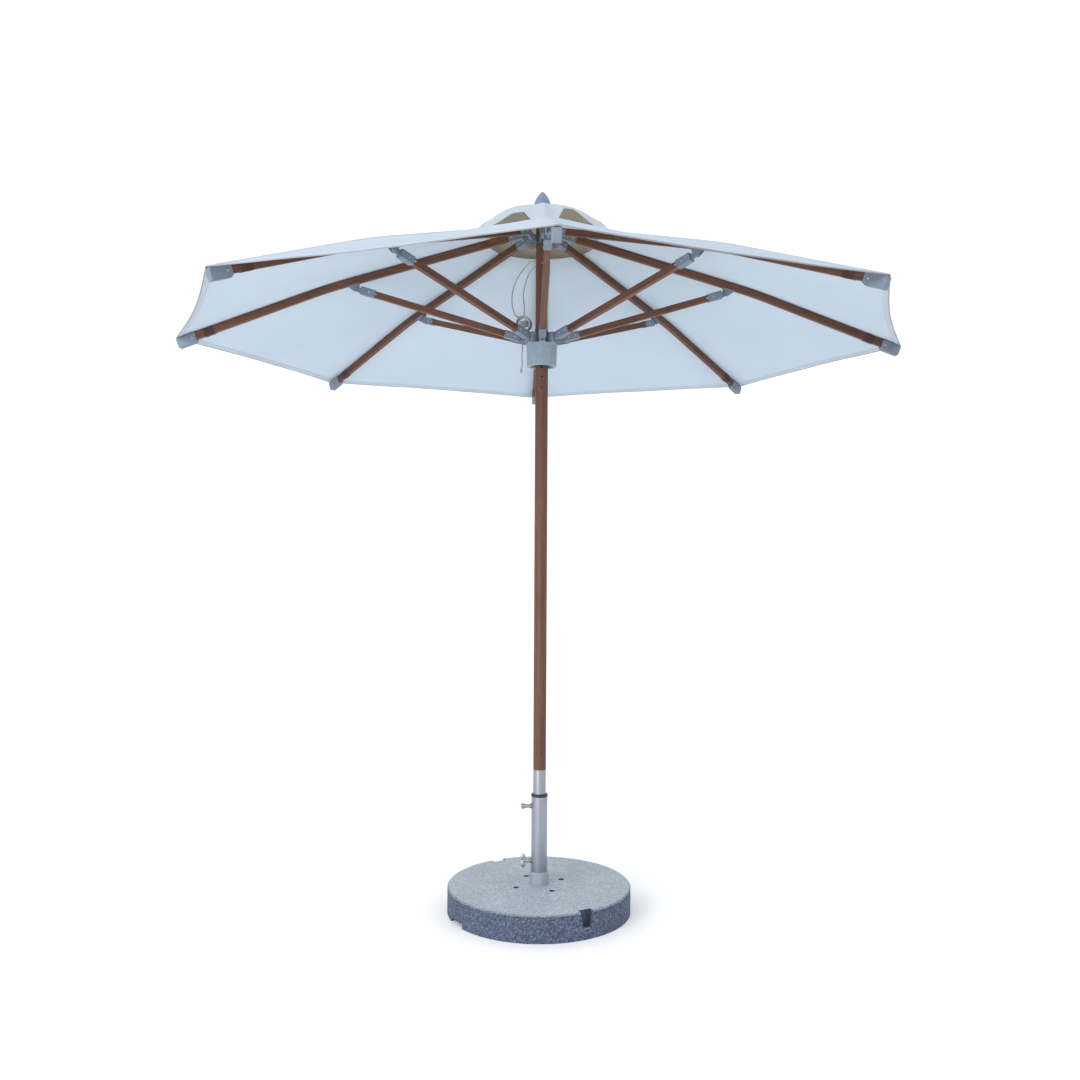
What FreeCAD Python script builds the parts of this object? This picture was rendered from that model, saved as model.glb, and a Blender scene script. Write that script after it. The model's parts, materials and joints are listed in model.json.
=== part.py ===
"""Eight-rib wooden market umbrella on a round granite base, as a parametric FreeCAD document.

The origin is the middle of the base's underside, on the pole's axis, with +Z up.
All sizes are millimetres and degrees. The near rib points along -Y.
"""
import FreeCAD, Part
import math
import os
import Sketcher
from FreeCAD import Placement, Rotation, Vector

# Driving dimensions: alias, value, what it is.
DIMENSIONS = [
    ("base_rad", 343.0, "granite disc, radius"),
    ("base_thick", 97.0, "granite disc, thickness"),
    ("base_edge", 5.0, "chamfer round the top rim"),
    ("base_bore", 30.5, "bore for the tube"),
    ("plate_rad", 122.0, "steel plate under the disc, radius"),
    ("plate_thick", 5.0, "steel plate, thickness"),
    ("plate_recess", 6.0, "depth of the recess for the plate"),
    ("grip_top", 51.0, "carrying pocket, width at the top"),
    ("grip_low", 35.0, "carrying pocket, width at the bottom"),
    ("grip_tall", 60.0, "carrying pocket, height"),
    ("grip_deep", 24.0, "carrying pocket, depth into the side"),
    ("finger_wide", 92.0, "finger recess at the floor, width"),
    ("finger_tall", 17.0, "finger recess, height"),
    ("finger_deep", 28.0, "finger recess, depth"),
    ("bolt_circle", 97.5, "radius of the circle of anchor bolts"),
    ("bolt_rad", 5.0, "anchor bolt, shank radius"),
    ("bolt_head", 8.5, "anchor bolt, head radius"),
    ("bolt_head_tall", 7.0, "anchor bolt, head height"),
    ("bolt_sink_rad", 11.0, "counterbore radius"),
    ("bolt_sink", 12.0, "counterbore depth"),
    ("collar_rad", 36.5, "socket collar, radius"),
    ("collar_tall", 48.0, "socket collar, height over the disc"),
    ("tube_rad", 30.0, "base tube, outer radius"),
    ("tube_wall", 2.5, "base tube, wall"),
    ("tube_low", 5.5, "height of the tube's lower end"),
    ("tube_top", 424.0, "height of the tube's upper end"),
    ("boss_rad", 9.0, "threaded boss on the tube, radius"),
    ("boss_out", 37.0, "boss, distance of its face from the axis"),
    ("ring_tall", 10.0, "guide ring in the tube's mouth, visible height"),
    ("ring_rad", 31.5, "guide ring, outer radius"),
    ("ring_bore", 24.5, "guide ring, bore radius"),
    ("ring_deep", 30.0, "guide ring, depth inside the tube"),
    ("screw_upper", 387.0, "height of the upper thumbscrew"),
    ("screw_lower", 183.0, "height of the lower thumbscrew"),
    ("screw_rad", 4.0, "thumbscrew, thread radius"),
    ("screw_gap", 0.6, "gap between the screw's tip and the sleeve"),
    ("screw_stem", 60.0, "distance from the axis to the wing"),
    ("wing_half", 26.0, "wing, half length"),
    ("wing_wide", 9.0, "wing, half width"),
    ("wing_thick", 3.5, "wing, half thickness"),
    ("pole_rad", 24.0, "pole radius"),
    ("pole_top", 2640.0, "height of the wooden pole's top"),
    ("pole_low", 525.0, "height where the wood enters the sleeve"),
    ("spigot_rad", 21.9, "turned end inside the sleeve, radius"),
    ("spigot_low", 330.0, "height of the turned end's bottom"),
    ("sleeve_low", 112.0, "height of the steel sleeve's lower end"),
    ("sleeve_bore", 22.0, "sleeve bore radius"),
    ("pulley_at", 2432.0, "height of the pulley's axle"),
    ("pulley_rad", 15.0, "pulley, radius"),
    ("pulley_wide", 8.0, "pulley, width"),
    ("pulley_bore", 3.1, "pulley, bore radius"),
    ("groove_rad", 3.2, "rope groove, radius"),
    ("slot_wide", 10.0, "slot in the pole, width"),
    ("slot_tall", 42.0, "slot in the pole, height"),
    ("axle_rad", 3.0, "pulley axle, radius"),
    ("peg_rad", 3.5, "cross holes under the runner, radius"),
    ("peg_one", 2038.0, "height of the first cross hole"),
    ("peg_two", 2003.0, "height of the second cross hole"),
    ("peg_three", 1962.0, "height of the third cross hole"),
    ("hub_at", 2521.0, "height of the rib pivots"),
    ("ring_circle", 56.0, "radius of the circle of pivots, hub and runner"),
    ("hub_rad", 66.0, "hub, radius"),
    ("hub_up", 13.0, "hub, height over the pivots"),
    ("hub_down", 15.0, "hub, depth of the disc under the pivots"),
    ("slit_wide", 10.6, "radial slit, width"),
    ("slit_in", 42.0, "radial slit, distance of its floor from the axis"),
    ("ear_side", 9.8, "distance of an ear's outer face from the middle of its slit"),
    ("hinge_rad", 2.5, "hinge pin, radius"),
    ("hinge_bore", 2.55, "hinge pin hole, radius"),
    ("hinge_long", 21.0, "hinge pin, length"),
    ("runner_at", 2143.0, "height of the strut pivots at rest"),
    ("ear_rad", 66.0, "runner crown, radius"),
    ("ear_up", 25.0, "runner crown, height over the pivots"),
    ("ear_down", 15.0, "runner crown, depth under the pivots"),
    ("lip_rad", 60.5, "lip round the skirt's top, radius"),
    ("lip_tall", 7.0, "lip, height"),
    ("skirt_rad", 57.5, "runner skirt, radius under the lip"),
    ("skirt_low_rad", 56.0, "runner skirt, radius at the bottom"),
    ("skirt_down", 100.0, "runner skirt, depth under the pivots"),
    ("runner_bore", 25.0, "runner, bore radius"),
    ("link_long", 676.0, "hub pivot to rib joint, and rib joint to runner pivot"),
    ("rib_start", 23.1, "rib wood, distance of its inner end from the pivot"),
    ("rib_off", 28.0, "rib centre line over the line of pivots"),
    ("rib_wide", 20.0, "rib, width"),
    ("rib_tall", 28.0, "rib, height"),
    ("rib_round", 3.0, "rib, edge radius"),
    ("bend_start", 700.0, "distance from the pivot where the rib starts to bend"),
    ("bend_rad", 1800.0, "rib bend, radius"),
    ("bend_turn", 4.4, "rib bend, angle"),
    ("tip_straight", 512.0, "straight length after the bend"),
    ("cap_over", 21.0, "tip cap, length past the rib's end"),
    ("cap_back", 52.0, "tip cap, length over the rib"),
    ("cap_wide", 26.0, "tip cap, width"),
    ("cap_up", 15.3, "tip cap, height over the rib's centre line"),
    ("cap_down", 25.0, "tip cap, depth under the rib's centre line"),
    ("tongue_wide", 10.0, "hinge tongue, width"),
    ("tongue_half", 9.0, "hinge tongue, half height"),
    ("hub_sleeve_at", 16.0, "rib's hub fitting, start of its sleeve"),
    ("hub_sleeve_end", 68.0, "rib's hub fitting, end of its sleeve"),
    ("sleeve_wall", 2.0, "wall of the fittings' sleeves"),
    ("socket_gap", 0.1, "gap round the wood in a fitting"),
    ("strut_wide", 22.0, "strut, width"),
    ("strut_tall", 24.0, "strut, height"),
    ("strut_round", 3.0, "strut, edge radius"),
    ("inner_tongue", 28.0, "strut's runner fitting, length of its tongue"),
    ("inner_sleeve", 60.0, "strut's runner fitting, length of its sleeve"),
    ("outer_tongue", 22.0, "strut's rib fitting, length of its tongue"),
    ("outer_sleeve", 56.0, "strut's rib fitting, length of its sleeve"),
    ("socket_floor", 7.0, "thickness at the closed end of a fitting's socket"),
    ("bracket_half", 21.0, "rib bracket, half length"),
    ("bracket_wide", 18.8, "rib bracket, width"),
    ("bracket_slit", 10.8, "rib bracket, gap between its ears"),
    ("bracket_plate", 2.2, "rib bracket, plate thickness"),
    ("joint_rad", 3.0, "rib joint pin, radius"),
    ("joint_bore", 3.05, "rib joint pin hole, radius"),
    ("joint_long", 21.0, "rib joint pin, length"),
    ("cloth", 1.6, "canopy cloth solid, thickness"),
    ("cloth_gap", 1.8, "gap between the wood and the cloth"),
    ("cap_lift", 2.6, "how much further the cloth stands off over the tip cap"),
    ("gore_gap", 0.35, "half of the gap between neighbouring gores"),
    ("canopy_in", 225.0, "radius of the canopy's top opening"),
    ("vent_out", 320.0, "radius of the vent cap's corners"),
    ("vent_top", 2650.0, "height of the vent cap's top"),
    ("vent_low", 2499.0, "height of the vent cap's corners"),
    ("vent_in", 28.0, "radius of the vent cap's top opening"),
    ("vent_bulge", 30.0, "how far the vent cap bows out"),
    ("finial_low", 2640.0, "height of the finial's underside"),
    ("finial_neck", 25.0, "finial, radius of its neck in the vent cap's hole"),
    ("finial_neck_tall", 11.5, "finial, height of its neck"),
    ("finial_rad", 33.0, "finial, radius of its head"),
    ("finial_tall", 57.0, "finial, height of its head"),
    ("rope_rad", 2.8, "rope, radius"),
    ("hank_across", 15.0, "rope hank, half width round the pole"),
    ("hank_out", 37.0, "rope hank, half width out from the pole"),
    ("hank_tall", 38.0, "rope hank, half height"),
    ("hank_at", 76.0, "rope hank, distance of its middle from the axis"),
    ("hank_height", 2209.0, "height of the hank's middle"),
    ("pin_stem", 34.0, "locking pin, stem length"),
    ("pin_rad", 3.0, "locking pin, stem radius"),
    ("pin_knob", 8.0, "locking pin, knob radius"),
    ("pin_knob_long", 9.0, "locking pin, knob length"),
    ("pin_gap", 0.8, "gap between the pin's tip and the pole"),
]

RIBS = 8                      # ribs, struts, gores and slits round the pole
SPACING = 360 / RIBS          # degrees from one rib to the next
NEAR_RIB = -90                # azimuth of rib_1
GRIP_AZIMUTH = 298            # azimuth of the first carrying pocket
GAP_AZIMUTH = 157.5           # the sector between two ribs where the rope hangs
SCREW_SIDE = 180              # azimuth of both thumbscrews
UPPER_WING = 82               # turn of the upper thumbscrew's wing from upright

# The finial's head, pointed like a bullet: shares of its radius and of its height.
FINIAL_PROFILE = [(1.0, 0.0), (0.985, 0.1), (0.94, 0.22), (0.87, 0.35), (0.78, 0.47), (0.67, 0.59),
                  (0.54, 0.71), (0.4, 0.82), (0.26, 0.91), (0.12, 0.98), (0.0, 1.0)]

doc = FreeCAD.newDocument("market_umbrella")
sheet = doc.addObject("Spreadsheet::Sheet", "Sheet")
for row, (alias, value, meaning) in enumerate(DIMENSIONS, start=1):
    sheet.set(f"A{row}", alias)
    sheet.set(f"B{row}", str(value))
    sheet.set(f"C{row}", meaning)
    sheet.setAlias(f"B{row}", alias)
doc.recompute()


def dim(expression):
    """The value of an expression of the sheet's aliases, each written with the prefix S."""
    return float(sheet.evalExpression(bound(expression)))


def bound(expression):
    """An expression with the sheet's own name in place of the short prefix."""
    return expression.replace("S.", "Sheet.")


# The four-bar's open angle follows from the pivots' heights.
OPEN_ANGLE = math.degrees(math.asin((dim("S.hub_at") - dim("S.runner_at")) / 2 / dim("S.link_long")))


def origin_of(body, role):
    return next(item for item in body.Origin.OriginFeatures if item.Role == role)


def new_body(name):
    body = doc.addObject("PartDesign::Body", name)
    body.Label = name
    return body


def new_sketch(body, name, plane, lift=None):
    """A sketch on one of the body's own planes, lifted off it by an expression."""
    sketch = body.newObject("Sketcher::SketchObject", f"{body.Name}_{name}")
    sketch.AttachmentSupport = (origin_of(body, plane), [""])
    sketch.MapMode = "FlatFace"
    if lift is not None:
        sketch.setExpression("AttachmentOffset.Base.z", bound(lift))
    return sketch


def fix_point(sketch, edge, end, across, up):
    """Ties a point of the sketch to two expressions, from the sketch's origin."""
    for kind, expression in (("DistanceX", across), ("DistanceY", up)):
        constraint = Sketcher.Constraint(kind, -1, 1, edge, end, dim(expression))
        number = sketch.addConstraint(constraint)
        sketch.setExpression(f"Constraints[{number}]", bound(expression))


def outline(body, name, plane, corners, lift=None):
    """A closed outline of straight lines through corners given as pairs of expressions."""
    sketch = new_sketch(body, name, plane, lift)
    points = [Vector(dim(across), dim(up), 0) for across, up in corners]
    count = len(points)
    for number in range(count):
        sketch.addGeometry(Part.LineSegment(points[number], points[(number + 1) % count]), False)
    for number in range(count):
        sketch.addConstraint(Sketcher.Constraint("Coincident", number, 2, (number + 1) % count, 1))
    for number, (across, up) in enumerate(corners):
        fix_point(sketch, number, 1, across, up)
    return sketch


def round_outline(body, name, plane, across, up, radius, lift=None):
    """A circle whose middle and radius are expressions."""
    sketch = new_sketch(body, name, plane, lift)
    middle = Vector(dim(across), dim(up), 0)
    sketch.addGeometry(Part.Circle(middle, Vector(0, 0, 1), dim(radius)), False)
    fix_point(sketch, 0, 3, across, up)
    number = sketch.addConstraint(Sketcher.Constraint("Radius", 0, dim(radius)))
    sketch.setExpression(f"Constraints[{number}]", bound(radius))
    return sketch


def box_corners(low, high, bottom, top):
    return [(low, bottom), (high, bottom), (high, top), (low, top)]


def revolved(body, corners):
    """Turns an outline in the XZ plane about the body's Z axis."""
    profile = outline(body, "profile", "XZ_Plane", corners)
    feature = body.newObject("PartDesign::Revolution", f"{body.Name}_turned")
    feature.Profile = profile
    feature.ReferenceAxis = (profile, ["V_Axis"])
    feature.Angle = 360
    doc.recompute()
    return feature


def padded(body, name, sketch, width):
    """Pads a sketch by a width, half to each side of its plane."""
    feature = body.newObject("PartDesign::Pad", f"{body.Name}_{name}")
    feature.Profile = sketch
    feature.Midplane = True
    feature.setExpression("Length", bound(width))
    doc.recompute()
    return feature


def pocketed(body, name, sketch, width):
    """Cuts a sketch out over a width, half to each side of its plane, and checks that it cut."""
    before = body.Shape.Volume
    feature = body.newObject("PartDesign::Pocket", f"{body.Name}_{name}")
    feature.Profile = sketch
    feature.Midplane = True
    feature.setExpression("Length", bound(width))
    doc.recompute()
    if feature.Shape.Volume >= before:
        raise RuntimeError(f"{feature.Name} cuts nothing")
    return feature


def patterned(body, name, feature, count):
    """Repeats a feature round the body's Z axis."""
    before = body.Shape.Volume
    pattern = body.newObject("PartDesign::PolarPattern", f"{body.Name}_{name}")
    pattern.Originals = [feature]
    pattern.Axis = (origin_of(body, "Z_Axis"), [""])
    pattern.Angle = 360
    pattern.Occurrences = count
    body.Tip = pattern
    doc.recompute()
    if pattern.Shape.Volume >= before:
        raise RuntimeError(f"{pattern.Name} repeats nothing")
    return pattern


def rounded(body, name, choose, radius):
    """Rounds the edges of the body's shape that the test picks."""
    base = body.Tip
    names = [f"Edge{n}" for n, edge in enumerate(base.Shape.Edges, start=1) if choose(edge)]
    feature = body.newObject("PartDesign::Fillet", f"{body.Name}_{name}")
    feature.Base = (base, names)
    feature.setExpression("Radius", bound(radius))
    doc.recompute()
    return feature


def primitive(kind, name, place=None, **sizes):
    """A Part primitive with its sizes bound to the sheet."""
    item = doc.addObject(f"Part::{kind}", name)
    for size, expression in sizes.items():
        item.setExpression(size, bound(expression))
    if place is not None:
        item.Placement = place
    return item


def joined(name, items):
    item = doc.addObject("Part::MultiFuse", name)
    item.Shapes = items
    return item


def cut(name, base, tools):
    """The base less all the tools."""
    tool = tools[0] if len(tools) == 1 else joined(f"{name}_tools", tools)
    item = doc.addObject("Part::Cut", name)
    item.Base = base
    item.Tool = tool
    return item


def grouped(name, members, place=None):
    """A group of separate solids, placed as one."""
    item = doc.addObject("Part::Compound", name)
    item.Label = name
    item.Links = members
    if place is not None:
        item.Placement = place
    return item


def turned(azimuth):
    """A turn about the pole."""
    return Placement(Vector(0, 0, 0), Rotation(Vector(0, 0, 1), azimuth))


def tilted(angle):
    """A turn about +Y, which lowers +X for a positive angle."""
    return Placement(Vector(0, 0, 0), Rotation(Vector(0, 1, 0), angle))


def moved(across=0, aside=0, up=0):
    return Placement(Vector(across, aside, up), Rotation())


def lying(across, aside, up, direction):
    """Puts a primitive's +Z along a direction, with its foot at a point."""
    return Placement(Vector(across, aside, up), Rotation(Vector(0, 0, 1), direction))


def rib_place(azimuth):
    return turned(azimuth) * moved(dim("S.ring_circle"), 0, dim("S.hub_at")) * tilted(OPEN_ANGLE)


def strut_place(azimuth):
    return turned(azimuth) * moved(dim("S.ring_circle"), 0, dim("S.runner_at")) * tilted(-OPEN_ANGLE)


def along_y(edge):
    """True for a straight edge parallel to Y."""
    first, last = edge.Vertexes[0].Point, edge.Vertexes[-1].Point
    return abs(first.x - last.x) < 1e-6 and abs(first.z - last.z) < 1e-6


# ---------------------------------------------------------------- base

def granite_base():
    """The granite disc: plate recess, tube bore, bolt holes, two carrying pockets, two recesses."""
    body = new_body("granite_base")
    revolved(body, [
        ("S.base_bore", "S.plate_recess"), ("S.plate_rad", "S.plate_recess"), ("S.plate_rad", "0"),
        ("S.base_rad", "0"), ("S.base_rad", "S.base_thick - S.base_edge"),
        ("S.base_rad - S.base_edge", "S.base_thick"), ("S.base_bore", "S.base_thick")])
    pocket = outline(body, "grip", "YZ_Plane", [
        ("-S.grip_low / 2", "S.base_thick - S.grip_tall"), ("S.grip_low / 2", "S.base_thick - S.grip_tall"),
        ("S.grip_top / 2", "S.base_thick"), ("-S.grip_top / 2", "S.base_thick")], lift="S.base_rad")
    grip = pocketed(body, "grip_cut", pocket, "2 * S.grip_deep")
    patterned(body, "grips", grip, 2)
    low = outline(body, "finger", "XZ_Plane", box_corners(
        "-S.finger_wide / 2", "S.finger_wide / 2", "0", "S.finger_tall"), lift="S.base_rad")
    finger = pocketed(body, "finger_cut", low, "2 * S.finger_deep")
    patterned(body, "fingers", finger, 2)
    hole = round_outline(body, "bolt_hole", "XY_Plane", "S.bolt_circle", "0", "S.bolt_rad + 0.5")
    patterned(body, "bolt_holes", pocketed(body, "bolt_cut", hole, "3 * S.base_thick"), 4)
    sink = round_outline(body, "bolt_sink", "XY_Plane", "S.bolt_circle", "0", "S.bolt_sink_rad",
                         lift="S.base_thick")
    patterned(body, "bolt_sinks", pocketed(body, "sink_cut", sink, "2 * S.bolt_sink"), 4)
    body.Placement = turned(GRIP_AZIMUTH)
    return body


def anchor_plate():
    """The steel plate under the disc, which the bolts pull up against the stone."""
    plate = primitive("Cylinder", "anchor_plate_disc", moved(up=0.5), Radius="S.plate_rad - 1",
                      Height="S.plate_thick")
    middle = dim("S.base_thick - S.bolt_sink")
    holes = [primitive("Cylinder", f"anchor_plate_hole_{n}",
                       turned(GRIP_AZIMUTH + 90 * n) * moved(dim("S.bolt_circle"), 0, -middle),
                       Radius="S.bolt_rad + 0.05", Height="2 * S.base_thick") for n in range(4)]
    item = cut("anchor_plate", plate, holes)
    item.Label = "anchor_plate"
    return item


def anchor_bolts():
    """Four bolts with round heads in the counterbores."""
    bolts = []
    for number in range(4):
        place = turned(GRIP_AZIMUTH + 90 * number) * moved(dim("S.bolt_circle"), 0, 0)
        seat = dim("S.base_thick - S.bolt_sink")
        shank = primitive("Cylinder", f"bolt_shank_{number}", place * moved(up=1), Radius="S.bolt_rad",
                          Height="S.base_thick - S.bolt_sink - 1")
        head = primitive("Cylinder", f"bolt_head_{number}", place * moved(up=seat), Radius="S.bolt_head",
                         Height="S.bolt_head_tall")
        key = primitive("Prism", f"bolt_key_{number}", place * moved(up=seat + dim("S.bolt_head_tall / 2")),
                        Circumradius="S.bolt_head / 2", Height="S.bolt_head_tall")
        bolts.append(cut(f"bolt_{number}", joined(f"bolt_blank_{number}", [shank, head]), [key]))
    return grouped("anchor_bolts", bolts)


def base_collar():
    """The socket collar that stands on the stone round the tube."""
    body = new_body("base_collar")
    revolved(body, [
        ("S.tube_rad + 0.05", "S.base_thick"), ("S.collar_rad", "S.base_thick"),
        ("S.collar_rad", "S.base_thick + S.collar_tall - 3"), ("S.collar_rad - 3", "S.base_thick + S.collar_tall"),
        ("S.tube_rad + 0.05", "S.base_thick + S.collar_tall")])
    return body


def base_tube():
    """The steel tube with a threaded boss for each thumbscrew."""
    blank = primitive("Cylinder", "tube_blank", moved(up=dim("S.tube_low")), Radius="S.tube_rad",
                      Height="S.tube_top - S.tube_low")
    bore = primitive("Cylinder", "tube_bore", moved(up=dim("S.tube_low") - 1),
                     Radius="S.tube_rad - S.tube_wall", Height="S.tube_top - S.tube_low + 2")
    bosses = []
    threads = []
    for place_name in ("screw_upper", "screw_lower"):
        place = lying(0, 0, dim(f"S.{place_name}"), Vector(-1, 0, 0))
        bosses.append(primitive("Cylinder", f"boss_{place_name}", place, Radius="S.boss_rad",
                                Height="S.boss_out"))
        threads.append(primitive("Cylinder", f"thread_{place_name}", place,
                                 Radius="S.screw_rad + 0.05", Height="2 * S.boss_out"))
    item = cut("base_tube", joined("tube_with_bosses", [blank] + bosses), [bore] + threads)
    item.Label = "base_tube"
    return item


def tube_top_ring():
    """The black guide ring in the tube's mouth, which the pole's sleeve slides through."""
    body = new_body("tube_top_ring")
    revolved(body, [
        ("S.ring_bore", "S.tube_top - S.ring_deep"), ("S.tube_rad - S.tube_wall - 0.05", "S.tube_top - S.ring_deep"),
        ("S.tube_rad - S.tube_wall - 0.05", "S.tube_top"), ("S.ring_rad", "S.tube_top"),
        ("S.ring_rad", "S.tube_top + S.ring_tall - 3"), ("S.ring_rad - 3", "S.tube_top + S.ring_tall"),
        ("S.ring_bore + 2", "S.tube_top + S.ring_tall"), ("S.ring_bore", "S.tube_top + S.ring_tall - 2")])
    return body


def thumbscrew(name, height, wing_turn):
    """A clamping screw with a round shoulder and a two-lobed wing, left at some turn about its axis."""
    tip = dim("S.pole_rad + S.screw_gap")
    stem = primitive("Cylinder", f"{name}_stem", lying(tip, 0, 0, Vector(1, 0, 0)), Radius="S.screw_rad",
                     Height="S.screw_stem - S.pole_rad - S.screw_gap")
    shoulder_at = dim("S.boss_out + 2")
    shoulder = primitive("Cylinder", f"{name}_shoulder", lying(shoulder_at, 0, 0, Vector(1, 0, 0)),
                         Radius="S.screw_rad + 3", Height="S.screw_stem - S.boss_out")
    lobes = []
    for side in (-1, 1):
        middle = moved(dim("S.screw_stem + 1"), 0, side * dim("S.wing_half") / 2)
        lobes.append(primitive("Ellipsoid", f"{name}_lobe_{'low' if side < 0 else 'high'}",
                               middle, Radius2="S.wing_wide", Radius3="S.wing_thick",
                               Radius1="S.wing_half / 2 + 1"))
    blank = joined(f"{name}_solid", [stem, shoulder] + lobes)
    wing = Placement(Vector(0, 0, 0), Rotation(Vector(1, 0, 0), wing_turn))
    return grouped(name, [blank], turned(SCREW_SIDE) * moved(up=height) * wing)


# ---------------------------------------------------------------- pole

def pole_wood():
    """The wooden pole: turned spigot at the foot, pulley slot, three cross holes."""
    body = new_body("pole_wood")
    revolved(body, [
        ("0", "S.spigot_low"), ("S.spigot_rad", "S.spigot_low"), ("S.spigot_rad", "S.pole_low"),
        ("S.pole_rad", "S.pole_low"), ("S.pole_rad", "S.pole_top"), ("0", "S.pole_top")])
    slot = outline(body, "slot", "YZ_Plane", box_corners(
        "-S.slot_wide / 2", "S.slot_wide / 2", "S.pulley_at - S.slot_tall / 2", "S.pulley_at + S.slot_tall / 2"))
    pocketed(body, "slot_cut", slot, "4 * S.pole_rad")
    holes = [("axle", "S.pulley_at", "S.axle_rad + 0.02"), ("peg_one", "S.peg_one", "S.peg_rad"),
             ("peg_two", "S.peg_two", "S.peg_rad"), ("peg_three", "S.peg_three", "S.peg_rad")]
    for name, height, radius in holes:
        circle = round_outline(body, name, "XZ_Plane", "0", height, radius)
        pocketed(body, f"{name}_cut", circle, "4 * S.pole_rad")
    return body


def pole_sleeve():
    """The steel sleeve on the pole's foot, which slides in the base tube."""
    body = new_body("pole_sleeve")
    revolved(body, [
        ("S.sleeve_bore", "S.sleeve_low"), ("S.pole_rad", "S.sleeve_low"), ("S.pole_rad", "S.pole_low - 0.2"),
        ("S.sleeve_bore", "S.pole_low - 0.2")])
    return body


def ears_and_bores(body, top, bottom, foot):
    """Cuts a crown into eight pairs of ears: slits for the tongues, gaps between pairs, and pin holes.

    The slits reach down to the bottom, and the gaps between the pairs down to the foot.
    """
    slit = outline(body, "slit", "XZ_Plane", box_corners("S.slit_in", "S.hub_rad + 5", bottom, top))
    patterned(body, "slits", pocketed(body, "slit_cut", slit, "S.slit_wide"), RIBS)
    half_turn = f"cos({SPACING} deg)"
    mirrored = [(f"({out} + S.ear_side) * {half_turn}", f"({out} - S.ear_side) * {half_turn}")
                for out in ("S.hub_rad + 5", "S.slit_in - 3")]
    gap = outline(body, "gap", "XY_Plane", [("S.slit_in - 3", "S.ear_side"), ("S.hub_rad + 5", "S.ear_side")]
                  + mirrored, lift=f"({top} + ({foot})) / 2")
    patterned(body, "gaps", pocketed(body, "gap_cut", gap, f"{top} - ({foot})"), RIBS)
    bore = round_outline(body, "pin_hole", "XZ_Plane", "S.ring_circle", "0", "S.hinge_bore")
    patterned(body, "pin_holes", pocketed(body, "pin_cut", bore, "S.hinge_long + 0.4"), RIBS)


def top_hub():
    """The hub near the pole's top: a collar with eight pairs of ears, which carry the ribs."""
    body = new_body("top_hub")
    revolved(body, [
        ("S.pole_rad + 0.05", "-S.hub_down"), ("S.hub_rad - 2", "-S.hub_down"), ("S.hub_rad", "-S.hub_down + 2"),
        ("S.hub_rad", "S.hub_up - 2"), ("S.hub_rad - 2", "S.hub_up"), ("S.pole_rad + 0.05", "S.hub_up")])
    ears_and_bores(body, "S.hub_up + 1", "-S.hub_down - 1", "-S.hub_down - 1")
    body.Placement = moved(up=dim("S.hub_at"))
    return body


def runner():
    """The runner that slides on the pole: eight pairs of ears over a plain tapered skirt with a lip."""
    body = new_body("runner")
    revolved(body, [
        ("S.runner_bore", "-S.skirt_down"), ("S.skirt_low_rad - 2", "-S.skirt_down"),
        ("S.skirt_low_rad", "-S.skirt_down + 2"), ("S.skirt_rad", "-S.ear_down - S.lip_tall - 1.5"),
        ("S.lip_rad", "-S.ear_down - S.lip_tall"), ("S.lip_rad", "-S.ear_down"), ("S.ear_rad", "-S.ear_down"),
        ("S.ear_rad", "S.ear_up - 3"), ("S.ear_rad - 3", "S.ear_up"), ("S.runner_bore", "S.ear_up")])
    ears_and_bores(body, "S.ear_up + 1", "-S.ear_down + 3", "-S.ear_down")
    body.Placement = moved(up=dim("S.runner_at"))
    return body


def ring_of_pins(name, height):
    """Eight hinge pins, each along the tangent of the circle of pivots."""
    pins = []
    for number in range(RIBS):
        place = turned(NEAR_RIB + SPACING * number) * moved(dim("S.ring_circle"), -dim("S.hinge_long") / 2, height)
        pins.append(primitive("Cylinder", f"{name}_{number + 1}",
                              place * Placement(Vector(), Rotation(Vector(1, 0, 0), -90)),
                              Radius="S.hinge_rad", Height="S.hinge_long"))
    return pins


def pole_pins():
    """The hub's hinge pins and the pulley's axle."""
    axle = primitive("Cylinder", "pulley_axle", lying(0, dim("-S.pole_rad"), dim("S.pulley_at"), Vector(0, 1, 0)),
                     Radius="S.axle_rad", Height="2 * S.pole_rad")
    return grouped("pole_pins", ring_of_pins("hub_pin", dim("S.hub_at")) + [axle])


def pulley_sheave():
    """The pulley in the pole's slot, grooved for the rope."""
    wheel = primitive("Cylinder", "sheave_blank", moved(up=dim("-S.pulley_wide") / 2), Radius="S.pulley_rad",
                      Height="S.pulley_wide")
    bore = primitive("Cylinder", "sheave_bore", moved(up=dim("-S.pulley_wide")), Radius="S.pulley_bore",
                     Height="2 * S.pulley_wide")
    groove = primitive("Torus", "sheave_groove", Radius1="S.pulley_rad", Radius2="S.groove_rad")
    solid = cut("sheave_solid", wheel, [bore, groove])
    place = Placement(Vector(0, 0, dim("S.pulley_at")), Rotation(Vector(1, 0, 0), 90))
    return grouped("pulley_sheave", [solid], place)


def finial():
    """The blunt point on the pole's top: a neck through the vent cap and a bullet-shaped head."""
    body = new_body("finial")
    head = [(f"{across} * S.finial_rad", f"S.finial_neck_tall + {up} * S.finial_tall")
            for across, up in FINIAL_PROFILE]
    revolved(body, [("0", "0"), ("S.finial_neck", "0"), ("S.finial_neck", "S.finial_neck_tall")] + head)
    body.Placement = moved(up=dim("S.finial_low"))
    return body


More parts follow.
